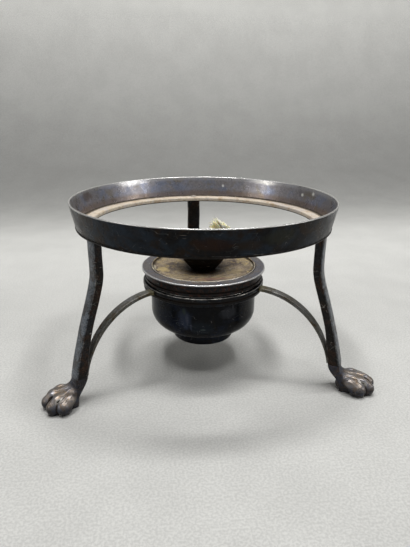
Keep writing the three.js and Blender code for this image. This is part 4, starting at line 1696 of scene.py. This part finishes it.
@dataclass
class Lamp:
    """The ring that holds the lamp, the pot with its collar, the lid with its dish, and the burner."""

    gap: float = 0.3
    solder_gap: float = 0.1
    holder_wall: float = 2.1
    holder_rebate: float = 1.3
    holder_lip: float = 2.2
    groove: float = 0.6
    pot_gap: float = 0.4
    pot_wall: float = 0.9
    foot_radius: float = 20.3
    foot_height: float = 7.4
    foot_taper: float = 0.9
    foot_step: float = 0.5
    shoulder: float = 12.0
    dimple: float = 0.8
    collar_wall: float = 1.5
    collar_flange: float = 1.2
    lid_flange: float = 1.4
    lid_overhang: float = 1.9
    skirt_wall: float = 1.7
    skirt_groove: float = 0.7
    skirt_ridge: float = 1.8
    dish_wall: float = 0.9
    bead: float = 0.9
    bead_height: float = 0.3
    step_width: float = 2.7
    step: float = 0.8
    dish_floor: float = 9.0
    dish_depth: float = 3.1
    thread_depth: float = 2.3
    neck_length: float = 5.0
    bowl_foot: float = 7.6
    bowl_waist: tuple[float, float] = (13.8, 7.4)
    bowl_curve: float = 12.0
    bowl_wall: float = 1.0
    bowl_floor: float = 1.4
    tube_wall: float = 0.6

    def __post_init__(self) -> None:
        """Reads the nodes' extents from the frame."""
        names = ("holder_ring", "lamp_pot", "pot_collar", "lid_ring", "lid_dish", "burner_bush", "burner_cup",
                 "wick_tube")
        (self.holder, self.pot, self.collar, self.lid, self.dish, self.bush, self.cup,
         self.tube) = (Extent.of(name) for name in names)
        self.neck = self.bush.radius - self.thread_depth
        self.bore = self.neck + self.gap

    def build(self) -> None:
        """Makes every turned piece of the lamp."""
        for piece in (self.holder_ring(), self.spirit_pot(), self.mouth_collar(), self.lid_ring(),
                      self.lid_dish(), self.threaded_bush(), self.burner_bowl(), self.wick_tube()):
            piece.build()

    def holder_ring(self) -> Turned:
        """The ring that the lamp hangs in: a bright rim over a narrow groove and a lip.

        Returns:
            The piece.
        """
        radius, bottom, top = self.holder
        inner, lip, neck = self.pot.radius + self.pot_gap, radius - self.groove / 2, radius - self.groove
        over, rebate, wall = bottom + self.holder_lip, top - self.holder_rebate, radius - self.holder_wall
        return Turned("lamp_ring", Body.STAND, Slot.HOLDER, "holder_ring", [
            (inner, bottom, 0.2, 1.0), (lip, bottom, 0.7, 0.0, 0.15), (lip, over, 0.25, 0.0, 0.35),
            (neck, over, 0.15), (neck, over + self.groove, 0.15),
            (radius, over + self.groove, 0.25, 0.0, 0.15), (radius, top, 0.8), (wall, top, 0.2, 0.0, 0.4),
            (wall, rebate, 0.1, 1.0), (inner, rebate, 0.2, 1.0),
        ], 0.06, 12)

    def spirit_pot(self) -> Turned:
        """The spun pot, with a crease where its foot starts and a slightly hollow base.

        Returns:
            The piece.
        """
        radius, bottom, top = self.pot
        wall, foot = self.pot_wall, self.foot_radius
        crease, base = bottom + self.foot_height, foot - self.foot_taper
        centre = (foot + self.foot_step, crease + self.shoulder)
        outer = (radius - centre[0], self.shoulder)
        inner = (outer[0] - wall, self.shoulder - wall)
        floor, dimple = bottom + wall, bottom + self.dimple
        return Turned("spirit_pot", Body.LAMP, Slot.POT, "lamp_pot", [
            (0, dimple), (base - 5.5, dimple, 2.0), (base - 3.2, bottom, 0.6), (base, bottom, 1.4),
            (foot, crease - 0.35, 0.3), *arc(centre, outer, -90, 0), (radius, top, 0.3),
            (radius - wall, top, 0.3, 1.0), *arc(centre, inner, 0, -90, 1.0), (foot - wall, crease, 0.4, 1.0),
            (base - wall, floor, 1.0, 1.0), (base - 3.0, floor, 0.5, 1.0),
            (base - 5.0, dimple + wall, 1.5, 1.0), (0, dimple + wall, 0.0, 1.0),
        ], 0.07, 21, 256, False)

    def mouth_collar(self) -> Turned:
        """The collar round the pot's mouth, whose flange rests in the holder ring.

        Returns:
            The piece.
        """
        radius, bottom, top = self.collar
        inner = self.pot.radius + self.solder_gap
        wall, flange = inner + self.collar_wall, bottom + self.collar_flange
        return Turned("mouth_collar", Body.LAMP, Slot.HOLDER, "pot_collar", [
            (inner, bottom), (radius, bottom, 0.2), (radius, flange, 0.3), (wall, flange, 0.2),
            (wall, top, 0.25), (inner, top, 0.2),
        ], 0.03, 22, 256)

    def lid_ring(self) -> Turned:
        """The lid's flange with its grooved skirt.

        Returns:
            The piece.
        """
        radius, bottom, top = self.lid
        under, over = top - self.lid_flange, bottom + self.skirt_ridge
        skirt, plate = radius - self.lid_overhang, self.dish.radius + self.solder_gap
        inner, neck, ridge = skirt - self.skirt_wall, skirt - self.groove, over + self.skirt_groove
        return Turned("lid_flange", Body.LID, Slot.LID, "lid_ring", [
            (inner, bottom, 0.2), (skirt, bottom, 0.35, 0.0, 0.12), (skirt, over, 0.25, 0.0, 0.2),
            (neck, over, 0.15), (neck, ridge, 0.15), (skirt, ridge, 0.25, 0.0, 0.15), (skirt, under, 0.2),
            (radius, under, 0.6, 0.0, 0.1), (radius, top, 0.45, 1.0),
            (plate + 0.25, top - 0.05, 0.2, 1.0, 0.1), (plate, top - 0.5, 0.0, 1.0), (plate, under),
            (inner, under),
        ], 0.08, 31)

    def lid_dish(self) -> Turned:
        """The dished plate: a bead, a shallow step and a cone down to a flat round the burner.

        Returns:
            The piece.
        """
        radius, top, wall = self.dish.radius, self.lid.top, self.dish_wall
        under, ledge, floor = top - self.gap - 1.1, top - self.step, top - self.dish_depth
        inner, bead = radius - self.bead, top + self.bead_height
        step, flat, fall = inner - self.step_width, self.dish_floor, self.step - self.dish_depth
        return Turned("heat_dish", Body.LID, Slot.DISH, "lid_dish", [
            (self.bore, floor - wall, 0.1), (flat, floor - wall, 1.0), (step, ledge - wall, 1.0),
            (inner - wall, ledge - wall, 0.1), (inner - wall, under, 0.1), (radius, under, 0.1),
            (radius, top, 0.1), (radius - 0.15, bead, 0.2, 0.0, 0.3), (inner + 0.15, bead, 0.2, 0.0, 0.2),
            (inner, ledge, 0.3), (step, ledge, 1.0, 0.05), (step - 6.0, ledge + fall * 0.4, 0.0, 0.1),
            (flat + 6.5, ledge + fall * 0.7, 0.0, 0.6), (flat, floor, 1.5, 1.0), (self.bore, floor, 0.2, 1.0),
        ], 0.08, 32)

    def threaded_bush(self) -> Turned:
        """The bush under the dish that the burner screws into.

        Returns:
            The piece.
        """
        radius, bottom, top = self.bush
        return Turned("threaded_bush", Body.LID, Slot.BRASS, "burner_bush", [
            (self.bore, bottom, 0.2), (radius, bottom, 0.3), (radius, top, 0.1), (self.bore, top, 0.1),
        ], 0.02, 41, 96)

    def burner_bowl(self) -> Turned:
        """The flared bowl with its neck.

        Returns:
            The piece.
        """
        radius, bottom, top = self.cup
        base, wall = bottom + self.neck_length, self.bowl_wall
        hole, floor = self.tube.radius + self.solder_gap, base + self.bowl_floor
        waist, middle = self.bowl_waist[0], base + self.bowl_waist[1]
        return Turned("burner_bowl", Body.BURNER, Slot.SOOT, "burner_cup", [
            (hole, bottom, 0.1), (self.neck, bottom, 0.4), (self.neck, base, 0.3),
            (self.bowl_foot, base, 2.6), (waist, middle, self.bowl_curve), (radius, top, 0.4),
            (radius - wall, top, 0.4, 1.0), (waist - wall, middle, self.bowl_curve, 1.0),
            (self.bowl_foot - 0.4, floor, 1.2, 1.0), (hole, floor, 0.1, 1.0),
        ], 0.06, 42, 192)

    def wick_tube(self) -> Turned:
        """The tube that holds the wick.

        Returns:
            The piece.
        """
        radius, bottom, top = self.tube
        inner = radius - self.tube_wall
        return Turned("wick_holder_tube", Body.BURNER, Slot.BRASS, "wick_tube", [
            (inner, bottom, 0.1, 1.0), (radius, bottom, 0.1), (radius, top, 0.2), (inner, top, 0.2, 1.0),
        ], 0.04, 43, 96)


# Wick


class Bundle(NamedTuple):
    """Strands of one kind: their radius, how wide they root and how they curl, in millimetres, and counts."""

    name: str
    radius: float
    root: float
    curl: float
    count: int
    points: int
    sides: int
    seed: int


@dataclass
class Wick:
    """The cotton wick: a cord of twisted plies that splays into yarns and loose fibres over its tube."""

    plies: int = 4
    pitch: float = 15.0
    rise: float = 2.5
    lean: tuple[float, float] = (10.0, 1.5)
    swing: float = 8.0
    peak: float = 7.0
    tip_rise: float = 14.6
    spread: Triple = (6.4, 4.0, 2.4)
    tube_wall: float = 0.6
    slack: float = 0.3
    lay: float = 0.52
    root_depth: float = 1.2

    BUNDLES = (Bundle("wick_yarns", 0.62, 1.9, 2.0, 30, 26, 8, 7),
               Bundle("wick_fibres", 0.13, 2.2, 3.4, 130, 20, 4, 23))

    def ply_recipe(self) -> Recipe:
        """The tree that twists round plies about each other.

        Returns:
            The recipe, with its sizes in metres.
        """
        numbers = ("Ply Radius", "Lay Radius", "Bottom", "Height", "Turns")
        recipe = Recipe("twisted_plies", numbers, ("Plies",))
        graph, inputs = recipe.graph, recipe.inputs
        spiral = graph.out("GeometryNodeCurveSpiral", {
            "Resolution": 40, "Rotations": inputs["Turns"], "Start Radius": inputs["Lay Radius"],
            "End Radius": inputs["Lay Radius"], "Height": inputs["Height"]})
        ply = recipe.tube(spiral, 14, inputs["Ply Radius"])
        points = graph.out("GeometryNodePoints", {"Count": inputs["Plies"]})
        turn = graph.out("GeometryNodeInputIndex") * (2 * math.pi) / inputs["Plies"]
        cord = graph.out("GeometryNodeInstanceOnPoints", {"Points": points, "Instance": ply,
                                                          "Rotation": graph.join(0.0, 0.0, turn)})
        lift = graph.join(0.0, 0.0, inputs["Bottom"]) + tuple(AXIS * MM)
        return recipe.close(graph.out("GeometryNodeTransform", {"Geometry": cord, "Translation": lift}))

    def strand_recipe(self) -> Recipe:
        """The tree that splays strands from the cord's top over to the tuft.

        Returns:
            The recipe, with its sizes in metres.
        """
        recipe = Recipe(
            "splayed_strands",
            ("Strand Radius", "Root Radius", "Root Height", "Swing", "Peak", "Lean X", "Lean Y", "Tip Height",
             "Spread X", "Spread Y", "Spread Z", "Curl"),
            ("Count", "Points", "Sides", "Seed"),
        )
        graph, inputs = recipe.graph, recipe.inputs
        cloud = graph.out("GeometryNodePoints", {"Count": inputs["Count"] * inputs["Points"]})
        index = graph.out("GeometryNodeInputIndex")
        strand = graph.math("FLOOR", (index + 0.5) / inputs["Points"])
        share = (index - strand * inputs["Points"]) / (inputs["Points"] - 1.0)

        def chance(extra: int) -> list[Wire]:
            """Three random numbers from -1 to 1 for each strand."""
            sockets = {"Min": (-1.0,) * 3, "Max": (1.0,) * 3, "ID": strand, "Seed": inputs["Seed"] + extra}
            return graph.split(graph.out("FunctionNodeRandomValue", sockets, data_type="FLOAT_VECTOR"))

        def between(first: Wire, second: Wire) -> Wire:
            """The point that lies as far between two points as the strand has run."""
            return first + (second - first) * share

        root, tip, curl = chance(1), chance(2), chance(3)
        floor, swing = inputs["Root Height"], inputs["Swing"]
        aside = tip[0] * inputs["Spread X"]
        across = inputs["Lean X"] + aside
        depth = inputs["Lean Y"] + tip[1] * inputs["Spread Y"]
        past = across - inputs["Peak"]
        slope = graph.math("MAXIMUM", past * 0.62, past * -1.5)
        height = inputs["Tip Height"] - slope - abs(tip[2]) * inputs["Spread Z"]
        rise = swing * 0.65
        start = graph.join(root[0] * inputs["Root Radius"], root[1] * inputs["Root Radius"], floor)
        out = graph.join(swing * 0.3, depth * 0.3, floor + rise)
        bend = graph.join(inputs["Lean X"] + (swing + aside * 0.3), depth * 0.8,
                          floor + rise * (curl[2] * 0.3 + 0.9))
        end = graph.join(across, depth, height)
        middle = between(out, bend)
        path = between(between(between(start, out), middle), between(middle, between(bend, end)))
        wander = graph.out("ShaderNodeTexNoise", {"Vector": path + graph.join(*curl) * 0.02, "Scale": 260.0,
                                                  "Detail": 1.0}, "Color")
        path = path + (wander - 0.5) * (share**1.5 * inputs["Curl"]) + tuple(AXIS * MM)
        curves = graph.out("GeometryNodePointsToCurves", {"Points": cloud, "Curve Group ID": strand,
                                                          "Weight": share})
        curves = graph.out("GeometryNodeSetPosition", {"Geometry": curves, "Position": path})
        curves = graph.out("GeometryNodeSetCurveRadius", {"Curve": curves, "Radius": 1.0 - share**6.0 * 0.55})
        return recipe.close(recipe.tube(curves, inputs["Sides"], inputs["Strand Radius"]))

    def build(self) -> None:
        """Makes the cord, its yarns and its fibres."""
        bottom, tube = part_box("wick")[0].z / MM, Extent.of("wick_tube")
        radius = tube.radius - self.tube_wall - self.slack
        height = tube.top + self.rise - bottom
        lay = radius * self.lay
        cord = {"Ply Radius": radius - lay, "Lay Radius": lay, "Bottom": bottom, "Height": height}
        turns = height / self.pitch
        pieces = [self.ply_recipe().make("wick_cord_plies", Slot.COTTON, cord, Plies=self.plies, Turns=turns)]
        shared = {"Root Height": tube.top + self.rise - self.root_depth, "Swing": self.swing,
                  "Peak": self.peak, "Lean X": self.lean[0], "Lean Y": self.lean[1],
                  "Tip Height": tube.top + self.tip_rise,
                  **dict(zip(("Spread X", "Spread Y", "Spread Z"), self.spread))}
        recipe = self.strand_recipe()
        for bundle in self.BUNDLES:
            sizes = {**shared, "Strand Radius": bundle.radius, "Root Radius": bundle.root,
                     "Curl": bundle.curl}
            pieces.append(recipe.make(bundle.name, Slot.COTTON, sizes, Count=bundle.count,
                                      Points=bundle.points, Sides=bundle.sides, Seed=bundle.seed))
        for piece in pieces:
            dress(piece, Body.WICK, Slot.COTTON, "wick")


# Studio


@dataclass
class Studio:
    """The camera at the photograph's angle, a pale paper sweep and the room's lights.

    The shadows on the photograph's floor are those of a square frame of ceiling lights above the stand. The
    camera's place and target are in millimetres, their Y from the lamp's axis. All else is in metres.
    """

    lens: float = 31.59
    position: Triple = (-31.18, -288.99, 164.645)
    target: Triple = (1.085, -0.121, 60.25)
    roll: float = 0.449
    floor_front: float = 1.6
    floor_back: float = 0.46
    sweep_radius: float = 0.34
    sweep_steps: int = 32
    wall_top: float = 1.9
    half_width: float = 2.2

    STRIPS = (
        ("frame_back", (0.06, 0.12, 1.3), (0.72, 0.1), 7.39),
        ("frame_left", (-0.29, -0.22, 1.3), (0.1, 0.62), 5.37),
        ("frame_right", (0.4, -0.22, 1.3), (0.1, 0.62), 4.78),
        ("frame_front", (0.06, -0.57, 1.3), (0.6, 0.1), 2.03),
        ("left_side", (-1.2, 0.1, 1.3), (0.3, 0.5), 1.45),
        ("right_side", (1.2, -0.1, 1.3), (0.3, 0.6), 2.9),
    )
    WINDOWS = (
        ("left_window", (-1.05, -0.42, 0.46), (0.5, 0.22), 1.45),
        ("right_window", (1.05, -0.42, 0.46), (0.6, 0.22), 1.89),
    )
    WINDOW_AIM = Vector((0, 0, 0.08))
    PAPER_RUN = 1.1
    # painted shade along the paper's run: darker where it curves up into the wall, lighter again higher up
    PAPER_TONES = ((0.08, 193), (0.21, 205), (0.31, 200), (0.374, 181), (0.459, 163), (0.53, 150),
                   (0.577, 143), (0.62, 141), (0.7, 148), (0.754, 157), (0.81, 170), (0.863, 182),
                   (0.912, 194), (1, 222))
    SKY: Shade = (186, 186, 183)

    def build(self) -> None:
        """Sets up the whole studio."""
        self.place_camera()
        self.lay_paper()
        self.light()
        self.surround()
        bpy.context.scene.view_settings.view_transform = "Standard"

    def place_camera(self) -> None:
        """Puts the camera where the photograph was taken from."""
        data = bpy.data.cameras.new("camera")
        data.lens = self.lens
        data.sensor_width = 36
        data.clip_start = 0.01
        camera = link_object("camera", data)
        position, target = (Vector(place) + Vector((0, AXIS.y, 0)) for place in (self.position, self.target))
        aim = (target - position).to_track_quat("-Z", "Y").to_matrix().to_4x4()
        roll = Matrix.Rotation(math.radians(self.roll), 4, "Z")
        camera.matrix_world = Matrix.Translation(position * MM) @ aim @ roll
        bpy.context.scene.camera = camera

    def lay_paper(self) -> None:
        """Lays the paper: flat under the stand, then swept up into a wall far behind it."""
        line = [(-self.floor_front, 0.0), (0.0, 0.0)]
        for step in range(self.sweep_steps + 1):
            angle = math.pi / 2 * step / self.sweep_steps
            line.append((self.floor_back + self.sweep_radius * math.sin(angle),
                         self.sweep_radius - self.sweep_radius * math.cos(angle)))
        line.append((self.floor_back + self.sweep_radius, self.wall_top))
        stretches = np.linalg.norm(np.diff(np.array(line), axis=0), axis=1)
        run = np.cumsum(np.r_[-self.floor_front, stretches])
        points = np.array([(x, y, z) for y, z in line for x in (-self.half_width, self.half_width)]) / MM
        faces = [(2 * row, 2 * row + 1, 2 * row + 3, 2 * row + 2) for row in range(len(line) - 1)]
        paper = make_object("paper_sweep", points, faces, {"run": np.repeat(run, 2)})
        paper.data.materials.append(self.paper_material())

    def paper_material(self) -> bpy.types.Material:
        """Pale matt paper with a faint tooth, and painted shade: darker up the wall, where less light
        reaches, and lighter again near its top.

        Returns:
            The material.
        """
        material, graph, shader = start_material("paper")
        coordinates = graph.out("ShaderNodeTexCoord", None, "Object")
        ramp = graph.add("ShaderNodeValToRGB", {"Fac": graph.attribute("run") / self.PAPER_RUN})
        points = ramp.color_ramp.elements
        while len(points) < len(self.PAPER_TONES):
            points.new(1.0)
        for point, (place, tone) in zip(points, self.PAPER_TONES):
            point.position = place / self.PAPER_RUN
            point.color = srgb((tone, tone * 0.998, tone * 0.98))
        tooth = graph.remap(graph.noise(coordinates, 850.0, 2.0, 0.6), 0.35, 0.65, 0.9, 1.08)
        wide = graph.remap(graph.noise(coordinates, 22.0, 3.0, 0.6), 0.3, 0.7, 0.96, 1.03)
        graph.fill(shader, {
            "Base Color": graph.mix(1.0, Wire(graph, ramp.outputs["Color"]), tooth * wide, "MULTIPLY"),
            "Roughness": 0.85,
            "Specular IOR Level": 0.14,
        })
        return material

    def light(self) -> None:
        """Hangs the ceiling strips, which face straight down, and the windows, which face the stand."""
        for name, place, size, power in self.STRIPS + self.WINDOWS:
            data = bpy.data.lights.new(name, "AREA")
            data.shape = "RECTANGLE"
            data.size, data.size_y = size
            data.energy = power
            lamp = link_object(name, data)
            lamp.location = place
            if name.endswith("window"):
                lamp.rotation_euler = (self.WINDOW_AIM - Vector(place)).to_track_quat("-Z", "Y").to_euler()

    def surround(self) -> None:
        """Fills the room with weak light: pale above and behind, dark towards the camera."""
        world = bpy.context.scene.world or bpy.data.worlds.new("room")
        bpy.context.scene.world = world
        world.use_nodes = True
        graph = Graph(world.node_tree)
        _, y, z = graph.split(graph.out("ShaderNodeTexCoord", None, "Generated"))
        path = graph.add("ShaderNodeLightPath").outputs
        level = graph.remap(z, -0.04, 0.22, 0.058, 0.58) * graph.remap(y, -0.9, 0.7, 0.7, 1.0)
        level = level * graph.remap(Wire(graph, path["Is Glossy Ray"]), 0.0, 1.0, 0.04, 1.0)
        shown = graph.mix(Wire(graph, path["Is Camera Ray"]), graph.join(level, level, level), srgb(self.SKY))
        graph.feed(world.node_tree.nodes["Background"].inputs["Color"], shown)


def main() -> None:
    """Builds the studio and every piece of the stand."""
    logging.basicConfig(level=logging.INFO, format="%(name)s %(message)s")
    Studio().build()
    Collar().build()
    for side in LEG_ANGLES:
        Leg(side).build()
    Paw().build(Leg("back").ankle_radius)
    Arms().build()
    Lamp().build()
    Wick().build()


if __name__ == "__main__":
    main()
